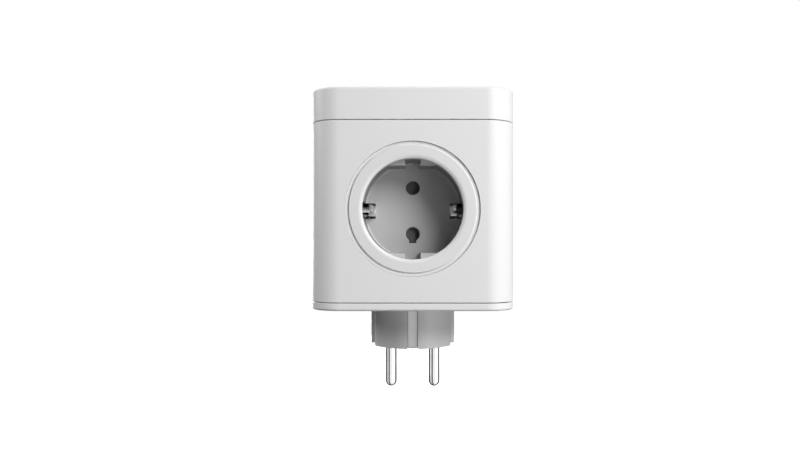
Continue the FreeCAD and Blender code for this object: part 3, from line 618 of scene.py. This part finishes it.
# %% Stack rounded squares into the two covers
EDGE = 0.9 * MM
SMALL = 0.15 * MM
collar_outer = half_side - wall - 0.1 * MM
collar_inner = collar_outer - 1.4 * MM


def stacked(name, steps):
    """A closed shell from (inset from the cube's side, level) steps, both ends filled."""
    rings = []
    for inset, level in steps:
        rings.append(rounded_square(half_side - inset, max(corner_radius - inset, 1 * MM), level))
    return loft(name, rings)


def cover_steps(parting, collar_end, inner_end, face, outward):
    """The wall section of a cover whose outer face points outward (1 up, -1 down)."""
    collar_in = half_side - collar_inner
    collar_out = half_side - collar_outer
    steps = [(collar_in, inner_end), (collar_in, collar_end)]
    steps += [(collar_out - SMALL, collar_end), (collar_out, collar_end + outward * SMALL)]
    steps += [(collar_out, parting), (SMALL, parting), (0, parting + outward * SMALL)]
    steps += quarter_round((0, face - outward * EDGE), (EDGE, face), (EDGE, face - outward * EDGE), 8)
    return steps


cap = stacked("top_cap", cover_steps(cap_bottom, cap_low[2], cap_high[2] - wall, cap_high[2], 1))
base = stacked(
    "base_plate",
    cover_steps(base_top, housing_low[2] + 2.8 * MM, base_low[2] + wall, base_low[2], -1),
)
print("cap", [round(side / MM, 2) for side in cap.dimensions])

# %% [markdown]
# The window sits in a shallow bed in the cap, over a smaller opening. Both are cut with one stepped
# cutter, and the button holes with turned cutters whose upper ends flare, which leaves a fine chamfer.

# %% Cut the cap's window bed and button holes
window_low, window_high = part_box("display_window")
BUTTONS = ("left", "middle", "right")


def soft_rectangle(low, high, level, corner=1.2 * MM, grow=0.0):
    points = []
    centres = ((high[0] - corner, high[1] - corner, 0), (low[0] + corner, high[1] - corner, 90),
               (low[0] + corner, low[1] + corner, 180), (high[0] - corner, low[1] + corner, 270))
    for x, y, start in centres:
        for step in range(7):
            turn = math.radians(start + step * 15)
            reach = corner + grow
            points.append((x + reach * math.cos(turn), y + reach * math.sin(turn), level))
    return points


def bed_cutter():
    steps = ((-2, -3), (-2, 0), (0.1, 0), (0.1, 1.25), (0.3, 1.45), (0.3, 3))
    rings = [
        soft_rectangle(window_low, window_high, window_low[2] + rise * MM, 2.4 * MM, grow * MM)
        for grow, rise in steps
    ]
    return loft("bed_cutter", rings)


def hole_cutter(name, centre, radius, low, face, below=False):
    """A round cutter that flares where it meets the face."""
    flare = 0.2 * MM
    sign = -1 if below else 1
    profile = ((radius, low), (radius, face - sign * flare), (radius + 2 * flare, face + sign * flare))
    return lathe(name, profile, centre, 72)


cap_cutters = [bed_cutter()]
for name in BUTTONS:
    low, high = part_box(f"button_{name}")
    middle = (low + high) / 2
    cap_cutters.append(hole_cutter("hole", middle[:2], 4.5 * MM, cap_high[2] - 4 * MM, cap_high[2]))
smooth(carve(cap, *cap_cutters))
finished(cap, casing_white, "body", "housing_plastic", "top_cap")

# %% Cut the base for the plug and its screws
screw_head = 2.8 * MM
screw_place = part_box("base_screws")[1][0] - screw_head
base_cutters = [hole_cutter("neck", (0, 0), 18.4 * MM, base_low[2] + 6 * MM, base_low[2], True)]
corners = [(sx * screw_place, sy * screw_place) for sx in (-1, 1) for sy in (-1, 1)]
for corner in corners:
    base_cutters.append(hole_cutter("seat", corner, 3.1 * MM, base_low[2] + 1.7 * MM, base_low[2], True))
smooth(carve(base, *base_cutters))
finished(base, casing_white, "body", "housing_plastic", "base_plate")

# %% [markdown]
# ## The socket recess
# The insert is turned: a flat face ring, a rounded lip, a deep wall, and a floor with a soft corner.
# Its flange is clamped behind the housing, and the fine step around its face is the dark ring. Pin
# holes, keyway and earth slots are cut out of it, and two pairs of guide blocks are added.

# %% Turn the insert
RECESS = 19.5 * MM
DEEP = 17.5 * MM
LIP = 1.6 * MM
RING = 24.6 * MM
GROOVE = 0.6 * MM
STEP = 26.0 * MM
CUP = 20.5 * MM


def insert_profile():
    """Radius and height above the face, from the floor's edge out to the flange and back."""
    steps = quarter_round(
        (RECESS - 0.6 * MM, -DEEP), (RECESS, -DEEP + 0.6 * MM), (RECESS - 0.6 * MM, -DEEP + 0.6 * MM), 4
    )
    # the lip rolls over by less than a right angle, so it ends in a crisp edge where the wall begins
    roll = math.radians(34)
    lip_radius = LIP / math.sin(roll)
    for step in range(11):
        turn = roll * (1 - step / 10)
        steps.append((RECESS + LIP - lip_radius * math.sin(turn), -lip_radius * (1 - math.cos(turn))))
    steps += quarter_round((RING - 0.25 * MM, 0), (RING, -0.25 * MM), (RING - 0.25 * MM, -0.25 * MM), 4)
    steps += [(RING, -GROOVE), (STEP, -GROOVE), (STEP, -wall), (flange_radius, -wall)]
    flange_back = -wall - 1.4 * MM
    return steps + [(flange_radius, flange_back), (CUP, flange_back), (CUP, -insert_deep)]


def pin_hole_cutter(side):
    radius, bevel = 2.8 * MM, 0.35 * MM
    profile = (
        (radius, -insert_deep - MM), (radius, -DEEP - bevel),
        (radius + bevel, -DEEP), (radius + bevel, -DEEP + MM),
    )
    return lathe("pin_cutter", profile, (0, side * PIN_OFFSET), 64)


def guide_block(side, end):
    """One of the four blocks that key a plug: a chord of the recess, cut off by the middle slot."""
    inner, outer, slot = 17.0 * MM, RECESS + 0.3 * MM, 3.0 * MM
    edge = math.sqrt(outer ** 2 - inner ** 2)
    outline = [(slot, inner), (edge, inner)]
    for step in range(1, 12):
        turn = math.atan2(inner, edge) + step / 12 * (math.acos(slot / outer) - math.atan2(inner, edge))
        outline.append((outer * math.cos(turn), outer * math.sin(turn)))
    outline.append((slot, math.sqrt(outer ** 2 - slot ** 2)))
    points = [(end * x, side * y) for x, y in outline]
    centre = Vector((sum(x for x, _ in points), sum(y for _, y in points))) / len(points)
    rings = []
    soft = 0.25 * MM
    top = -3.5 * MM
    for inset, level in ((0, -DEEP - 0.2 * MM), (0, top - soft), (soft * 0.3, top - soft * 0.3), (soft, top)):
        ring = []
        for point in points:
            inward = (centre - Vector(point)).normalized() * inset
            ring.append((point[0] + inward.x, point[1] + inward.y, level))
        rings.append(ring)
    return loft("guide", rings)


insert = lathe("insert", insert_profile(), around=192)
cutters = [pin_hole_cutter(side) for side in (-1, 1)]
keyway = (1.5 * MM, 3.6 * MM)
cutters.append(
    block(
        "keyway",
        (-keyway[0], -PIN_OFFSET - keyway[1], -insert_deep - MM),
        (keyway[0], -PIN_OFFSET, -DEEP + MM),
    )
)
for end in (-1, 1):
    near, far = sorted((end * 15.2 * MM, end * 22 * MM))
    cutters.append(block("earth_slot", (near, -3.15 * MM, -insert_deep - MM), (far, 3.15 * MM, -2.2 * MM)))
carve(insert, *cutters)
smooth(insert)
guides = [smooth(guide_block(side, end)) for side in (-1, 1) for end in (-1, 1)]
print("insert faces", len(insert.data.polygons))

# %% Set an insert in each side
facing_front(insert, -half_side)
for guide in guides:
    facing_front(guide, -half_side)
for turns, side in enumerate(SIDES):
    parts = [turned(piece, "part", turns) for piece in (insert, *guides)]
    whole = welded(f"socket_face_{side}", parts)
    finished(whole, socket_white, "body", "socket_plastic", f"socket_insert_{side}", f"socket_floor_{side}")
discard(insert, *guides)

# %% [markdown]
# ## Earth clips
# Each clip is a bent strip of plated spring metal: a leaf that bows towards the plug and curls away
# at its free end, and a short tab below it. The strip follows a path, so its thickness comes from
# offsetting the path sideways, and a Bevel rounds the punched edges so that they catch the light.

# %% Bend the strips
CLIP_THICK = 0.6 * MM


def strip(name, path, thick, low, high):
    """A ribbon along a path in the x-y plane, from one height to another."""
    path = [Vector(point) for point in path]
    left, right = [], []
    for step, point in enumerate(path):
        before = path[max(step - 1, 0)]
        after = path[min(step + 1, len(path) - 1)]
        heading = (after - before).normalized()
        across = Vector((-heading.y, heading.x)) * (thick / 2)
        left.append(point + across)
        right.append(point - across)
    outline = left + right[::-1]
    rings = [[(x, y, level) for x, y in outline] for level in (low, high)]
    made = loft(name, rings)
    rounding = made.modifiers.new("rounding", "BEVEL")
    rounding.width = thick * 0.22
    rounding.segments = 2
    rounding.limit_method = "ANGLE"
    rounding.angle_limit = math.radians(50)
    return smooth(plain(made), 40)


def smooth_path(points, steps=8):
    """A curve through points, each stretch eased into the next."""
    points = [Vector(point) for point in points]
    padded = [points[0] * 2 - points[1], *points, points[-1] * 2 - points[-2]]
    path = []
    for one, two, three, four in zip(padded, padded[1:], padded[2:], padded[3:]):
        for step in range(steps):
            t = step / steps
            path.append(
                0.5 * (2 * two + (three - one) * t + (2 * one - 5 * two + 4 * three - four) * t * t
                       + (3 * two - one - 3 * three + four) * t ** 3)
            )
    return path + [points[-1]]


def clip(end):
    """A clip in the front socket's frame: x across, y into the recess as depth below the face."""
    leaf_path = [(17.0, -22.5), (16.9, -19.0), (16.6, -16.0), (15.9, -11.5), (16.3, -8.0), (16.9, -6.2)]
    path = smooth_path([(end * x * MM, y * MM) for x, y in leaf_path])
    leaf = strip("leaf", path, CLIP_THICK, -0.4 * MM, 1.9 * MM)
    tab = block("tab", (15.3 * MM, -21.0 * MM, -2.3 * MM), (17.8 * MM, -12.0 * MM, -1.2 * MM), 0.15 * MM)
    if end < 0:
        tab.data.transform(Matrix.Scale(-1, 4, (1, 0, 0)))
        tab.data.flip_normals()
    return [leaf, smooth(tab)]


clips = [piece for end in (-1, 1) for piece in clip(end)]
for turns, side in enumerate(SIDES):
    copies = []
    for piece in clips:
        copy = piece.copy()
        copy.data = piece.data.copy()
        bpy.context.scene.collection.objects.link(copy)
        to_front = Matrix.Translation((0, -half_side, socket_level)) @ Matrix.Scale(-1, 4, (0, 1, 0))
        copy.data.transform(to_front)
        copy.data.flip_normals()
        copy.data.transform(Matrix.Rotation(math.radians(90 * turns), 4, "Z"))
        copies.append(copy)
    pair = welded(f"earth_spring_{side}", copies)
    finished(pair, clip_nickel, "body", "earth_nickel", f"earth_clips_{side}")
discard(*clips)

# %% [markdown]
# ## The plug
# The plug's neck is round, with flats at its two sides, a rib down the middle of each flat, and a
# groove front and back for the earth strip. Its outline is worked out from those widths and carried
# upward, with the lower edge rolled over. The pins are turned, with domed tips.

# %% Outline and neck
PLUG = 18.3 * MM
FLAT = 16.3 * MM
RIB = 2.5 * MM
GROOVE_HALF = 2.15 * MM
STRIP_FACE = 16.3 * MM


def plug_quarter(inset=0.0):
    """A quarter of the outline, from the middle of the rib round to the middle of the groove."""
    radius, flat = PLUG - inset, FLAT - inset
    rib, groove = RIB - inset, GROOVE_HALF + inset
    flat_end = math.acos(flat / radius)
    groove_start = math.acos(groove / radius)
    rib_top = math.asin(rib / radius)
    rib_turns = [rib_top * step / 3 for step in range(4)]
    points = [(radius * math.cos(turn), radius * math.sin(turn)) for turn in rib_turns]
    points += [(flat, rib), (flat, (rib + radius * math.sin(flat_end)) / 2)]
    for step in range(33):
        turn = flat_end + (groove_start - flat_end) * step / 32
        points.append((radius * math.cos(turn), radius * math.sin(turn)))
    points += [(groove, STRIP_FACE - MM - inset), (0.0001 * MM, STRIP_FACE - MM - inset)]
    return points


def plug_outline(level, inset=0.0):
    quarter = plug_quarter(inset)
    outline = []
    outline += [(x, y) for x, y in quarter[:-1]]
    outline += [(-x, y) for x, y in quarter[-2:0:-1]]
    outline += [(-x, -y) for x, y in quarter[:-1]]
    outline += [(x, -y) for x, y in quarter[-2:0:-1]]
    return [(x, y, level) for x, y in outline]


soft = 0.35 * MM
rolled_edge = quarter_round((soft, 0), (0, soft), (soft, soft), 4)
neck_rings = [plug_outline(plug_low[2] + rise, inset) for inset, rise in rolled_edge]
neck_rings.append(plug_outline(base_low[2] + 3.2 * MM))
neck = loft("plug_neck", neck_rings)
cutters = []
for sx in (-1, 1):
    near, far = sorted((sx * FLAT, sx * (PLUG + MM)))
    cutters.append(block("rib_end", (near, -RIB - MM, -MM), (far, RIB + MM, 0.4 * MM)))
    cutters.append(lathe("pin_bore", ((2.45 * MM, -MM), (2.45 * MM, 4 * MM)), (sx * PIN_OFFSET, 0), 48))
carve(neck, *cutters)
smooth(neck, 28)
flange = smooth(lathe("flange", ((23 * MM, base_low[2] + 3 * MM), (23 * MM, base_low[2] + 4.8 * MM))))
finished(joined("plug_neck", neck, flange), plug_white_painted_shade, "body", "plug_plastic", "plug_body")

# %% Pins and earth strip
for name in ("live", "neutral"):
    low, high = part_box(f"plug_pin_{name}")
    centre = (low + high) / 2
    radius = 2.4 * MM
    profile = [(0.01 * MM, low[2])]
    for step in range(1, 13):
        turn = math.pi / 2 * step / 12
        profile.append((radius * math.sin(turn), low[2] + radius * (1 - math.cos(turn))))
    profile += [(radius, high[2] - 0.3 * MM), (radius - 0.3 * MM, high[2]), (0.01 * MM, high[2])]
    pin = smooth(lathe(f"pin_{name}", profile, centre[:2], 64))
    finished(pin, pin_nickel, "body", "plug_pin_nickel", f"plug_pin_{name}")

bow_low, bow_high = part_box("plug_earth_bow")
reach = bow_high[1] - 0.5 * MM
bend = 2.0 * MM
bow_path = [(-reach, bow_low[2])]
bow_path += quarter_round((-reach, bow_high[2] - 0.5 * MM - bend), (-reach + bend, bow_high[2] - 0.5 * MM),
                          (-reach + bend, bow_high[2] - 0.5 * MM - bend), 6)
bow_path += [(-across, up) for across, up in bow_path[::-1]]
bow = strip("earth_bow", bow_path, 1.0 * MM, bow_low[0], bow_high[0])
bow.data.transform(Matrix(((0, 0, 1, 0), (1, 0, 0, 0), (0, 1, 0, 0), (0, 0, 0, 1))))
finished(bow, strip_nickel, "body", "plug_earth_nickel", "plug_earth_bow")

# %% [markdown]
# ## Screws
# Four screws hold the base, deep in their seats. One screw is turned and its cross cut; a small node
# tree then sets it on the four corners of a square, each turned by its own chance angle, as a
# screwdriver leaves them.

# %% One screw, four places
screw_low, screw_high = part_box("base_screws")
head_height, shank_radius = 1.5 * MM, 1.45 * MM
screw_profile = [(screw_head - 0.3 * MM, screw_low[2])]
screw_profile += [(screw_head, screw_low[2] + 0.3 * MM), (screw_head, screw_low[2] + head_height)]
screw_profile += [(shank_radius, screw_low[2] + head_height), (shank_radius, screw_high[2])]
screw = lathe("screw", screw_profile, around=48)
half_long, half_wide = 1.6 * MM, 0.35 * MM
cross = [
    block("cross", (-x, -y, screw_low[2] - MM), (x, y, screw_low[2] + 0.7 * MM))
    for x, y in ((half_long, half_wide), (half_wide, half_long))
]
smooth(carve(screw, *cross))

corner_recipe = Recipe("four corners")
corner_recipe.take("Spacing")
corner_recipe.take("Seed", "NodeSocketInt")
spacing = corner_recipe.input("Spacing")
corners_of_square = corner_recipe.node(
    "GeometryNodeMeshGrid", inputs={"Size X": spacing, "Size Y": spacing, "Vertices X": 2, "Vertices Y": 2}
)
chance = corner_recipe.node(
    "FunctionNodeRandomValue",
    {"data_type": "FLOAT_VECTOR"},
    {0: (0, 0, 0), 1: (0, 0, math.pi), "Seed": corner_recipe.input("Seed")},
)
copies = corner_recipe.node(
    "GeometryNodeInstanceOnPoints",
    inputs={"Points": corners_of_square, "Instance": corner_recipe.input("Geometry"), "Rotation": chance},
)
corner_recipe.ends(copies, screw_zinc)
corner_recipe.cook(screw, Spacing=2 * screw_place, Seed=4)
screw.name = "base_screw_set"
finished(smooth(screw), screw_zinc, "body", "screw_steel", "base_screws")

# %% [markdown]
# ## Push buttons
# Each button is turned: a shallow dish for the fingertip, a rounded rim, a flange that keeps it in
# the cap, and a stem that reaches down to its switch. Each rides on its own body, so it can be pressed.

# %% Turn the buttons
for name in BUTTONS:
    low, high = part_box(f"button_{name}")
    middle = (low + high) / 2
    radius, flange, stem, rim = 4.2 * MM, 5.1 * MM, 1.6 * MM, 0.4 * MM
    flange_top = cap_high[2] - wall - 0.3 * MM
    top = high[2]
    profile = [(0.01 * MM, low[2]), (stem, low[2]), (stem, flange_top - 0.9 * MM)]
    profile += [(flange, flange_top - 0.9 * MM), (flange, flange_top), (radius, flange_top)]
    profile += quarter_round((radius, top - rim), (radius - rim, top), (radius - rim, top - rim), 6)
    dish = radius - rim
    for step in range(1, 9):
        out = dish * (1 - step / 8.05)
        profile.append((out, top - 0.35 * MM * (1 - (out / dish) ** 2)))
    button = smooth(lathe(f"push_{name}", profile, middle[:2], 96), 50)
    finished(button, button_grey, f"button_{name}", "button_plastic", f"button_{name}")

# %% [markdown]
# ## Shutter springs
# A small coil behind each socket pushes its shutter back over the pin holes. A node tree winds it: a
# spiral, swept with a round wire.

# %% Wind the coils
spring_low, spring_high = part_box("shutter_spring_front")
spring_long = spring_high[0] - spring_low[0]
wire_radius = 0.12 * MM
joints = {joint["name"]: joint for joint in frame["record"]["behaviour"]["joints"]}
travel = joints["shutter_front_slide"]["range_m"][1]

coil_recipe = Recipe("coil")
for size_name in ("Length", "Radius", "Wire", "Turns"):
    coil_recipe.take(size_name)
spiral = coil_recipe.node(
    "GeometryNodeCurveSpiral",
    inputs={
        "Resolution": 24,
        "Rotations": coil_recipe.input("Turns"),
        "Start Radius": coil_recipe.input("Radius"),
        "End Radius": coil_recipe.input("Radius"),
        "Height": coil_recipe.input("Length"),
    },
)
ring = coil_recipe.node(
    "GeometryNodeCurvePrimitiveCircle", inputs={"Resolution": 10, "Radius": coil_recipe.input("Wire")}
)
wound = coil_recipe.node("GeometryNodeCurveToMesh", inputs={0: spiral, 1: ring, "Fill Caps": True})
coil_recipe.ends(wound, spring_steel)
coil = coil_recipe.cook(
    from_bmesh("coil", bmesh.new()),
    Length=spring_long - 2 * wire_radius,
    Radius=(spring_high[2] - spring_low[2]) / 2 - wire_radius,
    Wire=wire_radius,
    Turns=14.0,
)
start = (spring_low[0] + wire_radius, (spring_low[1] + spring_high[1]) / 2, socket_level)
coil.data.transform(Matrix.Translation(start) @ Matrix.Rotation(math.radians(90), 4, "Y"))
for turns, side in enumerate(SIDES):
    spring = smooth(turned(coil, f"shutter_coil_{side}", turns), 60)
    finished(spring, spring_steel, "body", "spring_steel", f"shutter_spring_{side}")
    turn = Matrix.Rotation(math.radians(90 * turns), 3, "Z")
    fixed_end = turn @ Vector((spring_low[0], start[1], socket_level))
    tuple(turn @ Vector((1, 0, 0)))
    (spring_long - travel) / spring_long
    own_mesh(spring)
discard(coil)

# %% [markdown]
# ## Display
# The window is a clear acrylic plate with a dark frame printed on its inner face. Behind it lies a
# liquid crystal cell. Its figures are made of six-sided bars: points carry each bar's turn and size,
# and a node tree sets a bar on every point. Bars that are off still show faintly, as on a real cell.

# %% The window plate
acrylic = Finish("window_acrylic")
wx, wy, _ = acrylic.parts_of(acrylic.place)
window_middle = (window_low + window_high) / 2
view_half = (19.4 * MM, 9.4 * MM)
across_out = abs(wx - window_middle[0]) - view_half[0]
along_out = abs(wy - window_middle[1]) - view_half[1]
printed = acrylic.sum("MAXIMUM", across_out, along_out) > 0.0
smear = acrylic.noise(9 * MM, 3.0)
window_acrylic = acrylic.surface(
    Base_Color=acrylic.mix(printed, (0.50, 0.52, 0.52), (0.012, 0.012, 0.014)),
    Alpha=0.10 + 0.90 * printed,
    Roughness=0.04 + 0.06 * smear,
    Specular_IOR_Level=0.5,
)
window_rings = [
    soft_rectangle(window_low, window_high, level, 2.4 * MM, grow)
    for grow, level in (
        (-0.1 * MM, window_low[2]), (0, window_low[2] + 0.1 * MM),
        (0, window_high[2] - 0.25 * MM), (-0.08 * MM, window_high[2] - 0.08 * MM),
        (-0.25 * MM, window_high[2]),
    )
]
window = smooth(loft("window_plate", window_rings))
finished(window, window_acrylic, "body", "window_acrylic", "display_window")

# %% The figures, bar by bar
LIT = {
    "0": "abcdef", "1": "bc", "2": "abged", "3": "abgcd", "4": "fgbc",
    "5": "afgcd", "6": "afgedc", "7": "abc", "8": "abcdefg", "9": "abcdfg",
}
BAR_AT = {
    "a": (0, 1, 0), "b": (0.5, 0.5, 1), "c": (0.5, -0.5, 1), "d": (0, -1, 0),
    "e": (-0.5, -0.5, 1), "f": (-0.5, 0.5, 1), "g": (0, 0, 0),
}
_, cell_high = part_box("display_module")


def bar_points(rows, lit):
    """(place, turn, size) of every bar that is lit, or of every bar that isn't."""
    points = []
    for text, right, middle, tall in rows:
        wide = tall * 0.5
        x = right
        for mark in reversed(text):
            if mark == ".":
                if lit:
                    points.append(((x - 0.12 * tall, middle - tall / 2), 0, (0.10 * tall, 0.10 * tall)))
                x -= 0.24 * tall
                continue
            for bar, (across, up, upright) in BAR_AT.items():
                if (bar in LIT[mark]) == lit:
                    place = (x - wide / 2 + across * wide, middle + up * tall / 2)
                    length = tall * 0.23 if upright else wide * 0.42
                    points.append((place, upright * math.pi / 2, (length, 0.075 * tall)))
            x -= wide * 1.5
    return points


bar_recipe = Recipe("display bars")
bar_recipe.take("Thickness")
bar = bar_recipe.node(
    "GeometryNodeMeshCylinder", inputs={"Vertices": 6, "Radius": 1.0, "Depth": bar_recipe.input("Thickness")}
)
turn = bar_recipe.node("GeometryNodeInputNamedAttribute", {"data_type": "FLOAT"}, {"Name": "turn"})
size = bar_recipe.node("GeometryNodeInputNamedAttribute", {"data_type": "FLOAT_VECTOR"}, {"Name": "size"})
spin = bar_recipe.node("ShaderNodeCombineXYZ", inputs={2: turn})
bars = bar_recipe.node(
    "GeometryNodeInstanceOnPoints",
    inputs={"Points": bar_recipe.input("Geometry"), "Instance": bar, "Rotation": spin, "Scale": size},
)
figure_ink = moulded("figure_ink", (0.015, 0.02, 0.018), 0.4, depth=0.0005 * MM)
faint_ink = moulded("faint_ink", (0.37, 0.42, 0.335), 0.4, depth=0.0005 * MM)
bar_recipe.ends(bars, figure_ink)


def figures(name, rows, lit, ink):
    points = bar_points(rows, lit)
    shape = bmesh.new()
    level = cell_high[2] + 0.03 * MM
    for place, _, _ in points:
        shape.verts.new((*place, level))
    piece = from_bmesh(name, shape)
    turns = piece.data.attributes.new("turn", "FLOAT", "POINT")
    turns.data.foreach_set("value", [turn for _, turn, _ in points])
    sizes = piece.data.attributes.new("size", "FLOAT_VECTOR", "POINT")
    sizes.data.foreach_set("vector", [part for _, _, (x, y) in points for part in (x, y, 1)])
    bar_recipe.cook(piece, Thickness=0.04 * MM)
    return finished(piece, ink, "body", "display_glass")


ROWS = (
    ("230.4", 15 * MM, window_middle[1] + 4.8 * MM, 5.2 * MM),
    ("0.86", 15 * MM, window_middle[1] - 1.0 * MM, 3.4 * MM),
    ("198.2", 15 * MM, window_middle[1] - 5.6 * MM, 3.0 * MM),
)
figures("display_figures", ROWS, True, figure_ink)
figures("display_faint_bars", ROWS, False, faint_ink)

# %% [markdown]
# ## What stays as the frame made it
# The pieces inside are already the right shape: shutters, contacts, wires, the board and its parts.
# They keep their engineering meshes and only get a finish, found by the material slot that the record
# gives each of them. Four of those finishes are patterns: the board's tracks and pads, the earth
# wire's two colours, the fine layers of the display's connector, and the liquid crystal cell.

# %% Patterned finishes


def repeats(finish, along, pitch):
    """How far along one repeat of a pattern each point is, from 0 to 1."""
    return finish.sum("FRACT", along * (1 / pitch))


board = Finish("board_green")
bx, by, _ = board.parts_of(board.place)
tracks = (abs(repeats(board, bx + 0.6 * MM * board.noise(7 * MM, 1.0), 2.54 * MM) - 0.5) < 0.11)
pad_x = abs(repeats(board, bx, 2.54 * MM) - 0.5)
pad_y = abs(repeats(board, by, 5.08 * MM) - 0.5)
pads = board.sum("ADD", pad_x * pad_x, 4 * pad_y * pad_y) < 0.022
solder_mask = board.mix(tracks, (0.018, 0.13, 0.05), (0.04, 0.22, 0.085))
board_green = board.surface(
    Base_Color=board.mix(pads, solder_mask, (0.62, 0.60, 0.54)),
    Metallic=1.0 * pads,
    Roughness=0.34 - 0.08 * pads,
    Normal=board.bump(board.sum("ADD", tracks, pads), 0.02 * MM),
)

earth = Finish("insulation_green_yellow")
ex, ey, ez = earth.parts_of(earth.place)
stripe = repeats(earth, ex + ey + ez, 5 * MM) < 0.32
insulation_green_yellow = earth.surface(
    Base_Color=earth.mix(stripe, (0.06, 0.34, 0.05), (0.80, 0.70, 0.05)),
    Roughness=0.3 + 0.1 * earth.noise(2 * MM),
    Normal=earth.bump(earth.noise(0.4 * MM, 3.0), 0.004 * MM),
)

layers = Finish("connector_layers")
lx, _, _ = layers.parts_of(layers.place)
dark_layer = repeats(layers, lx, 0.36 * MM) < 0.5
connector_layers = layers.surface(
    Base_Color=layers.mix(dark_layer, (0.40, 0.30, 0.30), (0.03, 0.03, 0.03)),
    Roughness=0.6 + 0.1 * layers.noise(0.5 * MM),
)

cell = Finish("liquid_crystal")
edge_glow = cell.noise(16 * MM, 1.0)
liquid_crystal = cell.surface(
    Base_Color=cell.mix(edge_glow, (0.40, 0.46, 0.36), (0.50, 0.56, 0.44)),
    Roughness=0.12 + 0.08 * cell.noise(3 * MM),
)

# %% Give every remaining node its finish
FINISH_OF_SLOT = {
    "housing_plastic": casing_white,
    "socket_plastic": socket_white,
    "plug_plastic": plug_white_painted_shade,
    "shutter_plastic": shutter_grey,
    "insulator_plastic": insulator_ivory,
    "button_plastic": button_grey,
    "switch_plastic": switch_black,
    "diffuser_plastic": diffuser_milk,
    "capacitor_case": box_yellow,
    "capacitor_sleeve": sleeve_dark,
    "varistor_coating": epoxy_blue,
    "chip_moulding": chip_black,
    "circuit_board": board_green,
    "brown_insulation": insulation_brown,
    "blue_insulation": insulation_blue,
    "green_insulation": insulation_green_yellow,
    "connector_rubber": connector_layers,
    "window_acrylic": window_acrylic,
    "display_glass": liquid_crystal,
    "earth_nickel": clip_nickel,
    "plug_earth_nickel": strip_nickel,
    "plug_pin_nickel": pin_nickel,
    "contact_brass": contact_brass,
    "screw_steel": screw_zinc,
    "spring_steel": spring_steel,
    "bright_can": can_nickel,
    "shunt_alloy": shunt_alloy,
}
for subpart in frame["record"]["subparts"]:
    node = frame["nodes"][subpart["node"]]
    finish = FINISH_OF_SLOT[subpart["material_slot"]]
    if node.material_slots:
        for material_slot in node.material_slots:
            material_slot.material = finish
    else:
        node.data.materials.append(finish)

# %% [markdown]
# ## Floor, light and camera
# The floor and the air around look white. The floor is a backdrop only: it glows faintly, and casts,
# bounces and mirrors nothing, so it gives no contact shadow. The air is bright to the camera, dim to
# the object, and holds a white card that only mirrors see, which gives the pins their bright middles.
#
# There are four soft lamps. The key stands to the upper right, in front: it leaves the left corner in
# shade and throws the top of the recess into shadow. The fill lights the left side, a low lamp lifts
# the underside from the front right, and the back lamp lights the rear.

# %% The floor
floor_finish = Finish("floor_white")
drift = floor_finish.noise(60 * MM, 2.0)
floor_white = floor_finish.surface(
    Base_Color=floor_finish.mix(drift, (0.90, 0.90, 0.90), (0.92, 0.92, 0.92)),
    Roughness=0.9,
    Emission_Color=(1.0, 1.0, 1.0),
    Emission_Strength=0.9,
)
floor_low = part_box("plug_pin_live")[0][2] - 0.4 * MM
floor_shape = bmesh.new()
bmesh.ops.create_circle(floor_shape, cap_ends=True, segments=96, radius=0.17)
floor = from_bmesh("studio_floor", floor_shape)
floor.location.z = floor_low
floor.data.materials.append(floor_white)
floor.visible_diffuse = False
floor.visible_glossy = False
floor.visible_shadow = False
print("floor at", round(floor_low / MM, 2), "mm")

# %% Light


class Air(Finish):
    """The material language, for the air around: each place in it is a direction."""

    def __init__(self, name):
        self.world = bpy.data.worlds.new(name)
        self.world.use_nodes = True
        self.tree = self.world.node_tree
        self.tree.nodes.clear()
        self.place = self.node("ShaderNodeTexCoord", output="Generated")


air = Air("studio_air")
x, y, z = air.parts_of(air.place)
seen = air.node("ShaderNodeLightPath", output="Is Camera Ray")
mirrored = air.node("ShaderNodeLightPath", output="Is Glossy Ray")
from_below = air.sum("MAXIMUM", 0.6 * x - 0.5 * y - 0.6 * z, 0.0)
post = (abs(x - y) < 0.35) * (x < 0.0)
card = (z < -0.05) * (y < 0.0) * (1 - post)
strength = 0.95 * seen + (1 - seen) * 0.18 * from_below + 0.90 * mirrored * card + 0.06
background = air.node("ShaderNodeBackground", inputs={"Color": (1, 1, 1, 1), "Strength": strength})
air_end = air.tree.nodes.new("ShaderNodeOutputWorld")
air.tree.links.new(background.socket, air_end.inputs["Surface"])
bpy.context.scene.world = air.world

target = Vector((0, 0, socket_level))


def lamp(name, place, size, power):
    light = bpy.data.lights.new(name, "AREA")
    light.shape = "DISK"
    light.size = size
    light.energy = power
    holder = bpy.data.objects.new(name, light)
    holder.location = place
    holder.rotation_euler = (target - holder.location).to_track_quat("-Z", "Y").to_euler()
    bpy.context.scene.collection.objects.link(holder)
    print(f"{name}: {power} W from {place}")
    return holder


# name, place, width in metres and power in watts
lamp("key", (0.54, -0.57, 0.53), 0.6, 8.9)
lamp("fill", (-0.68, 0.02, 0.40), 0.4, 3.6)
lamp("low", (0.42, -0.42, -0.16), 0.3, 0.8)
lamp("back", (-0.30, 0.72, 0.16), 0.5, 6.0)
bpy.context.scene.view_settings.view_transform = "Standard"

# %% [markdown]
# The camera stands level with the middle of the front socket and a little below it, so close that
# the sides narrow behind the front face. It looks straight ahead, and a small shift frames the cube.

# %% Camera
camera_data = bpy.data.cameras.new("camera")
camera_data.lens = 29.61
camera_data.shift_x = -0.0159
camera_data.shift_y = 0.025
camera = bpy.data.objects.new("camera", camera_data)
camera.location = (0, -0.292, 0.0434)
camera.rotation_euler = (math.pi / 2, 0, 0)
bpy.context.scene.collection.objects.link(camera)
bpy.context.scene.camera = camera
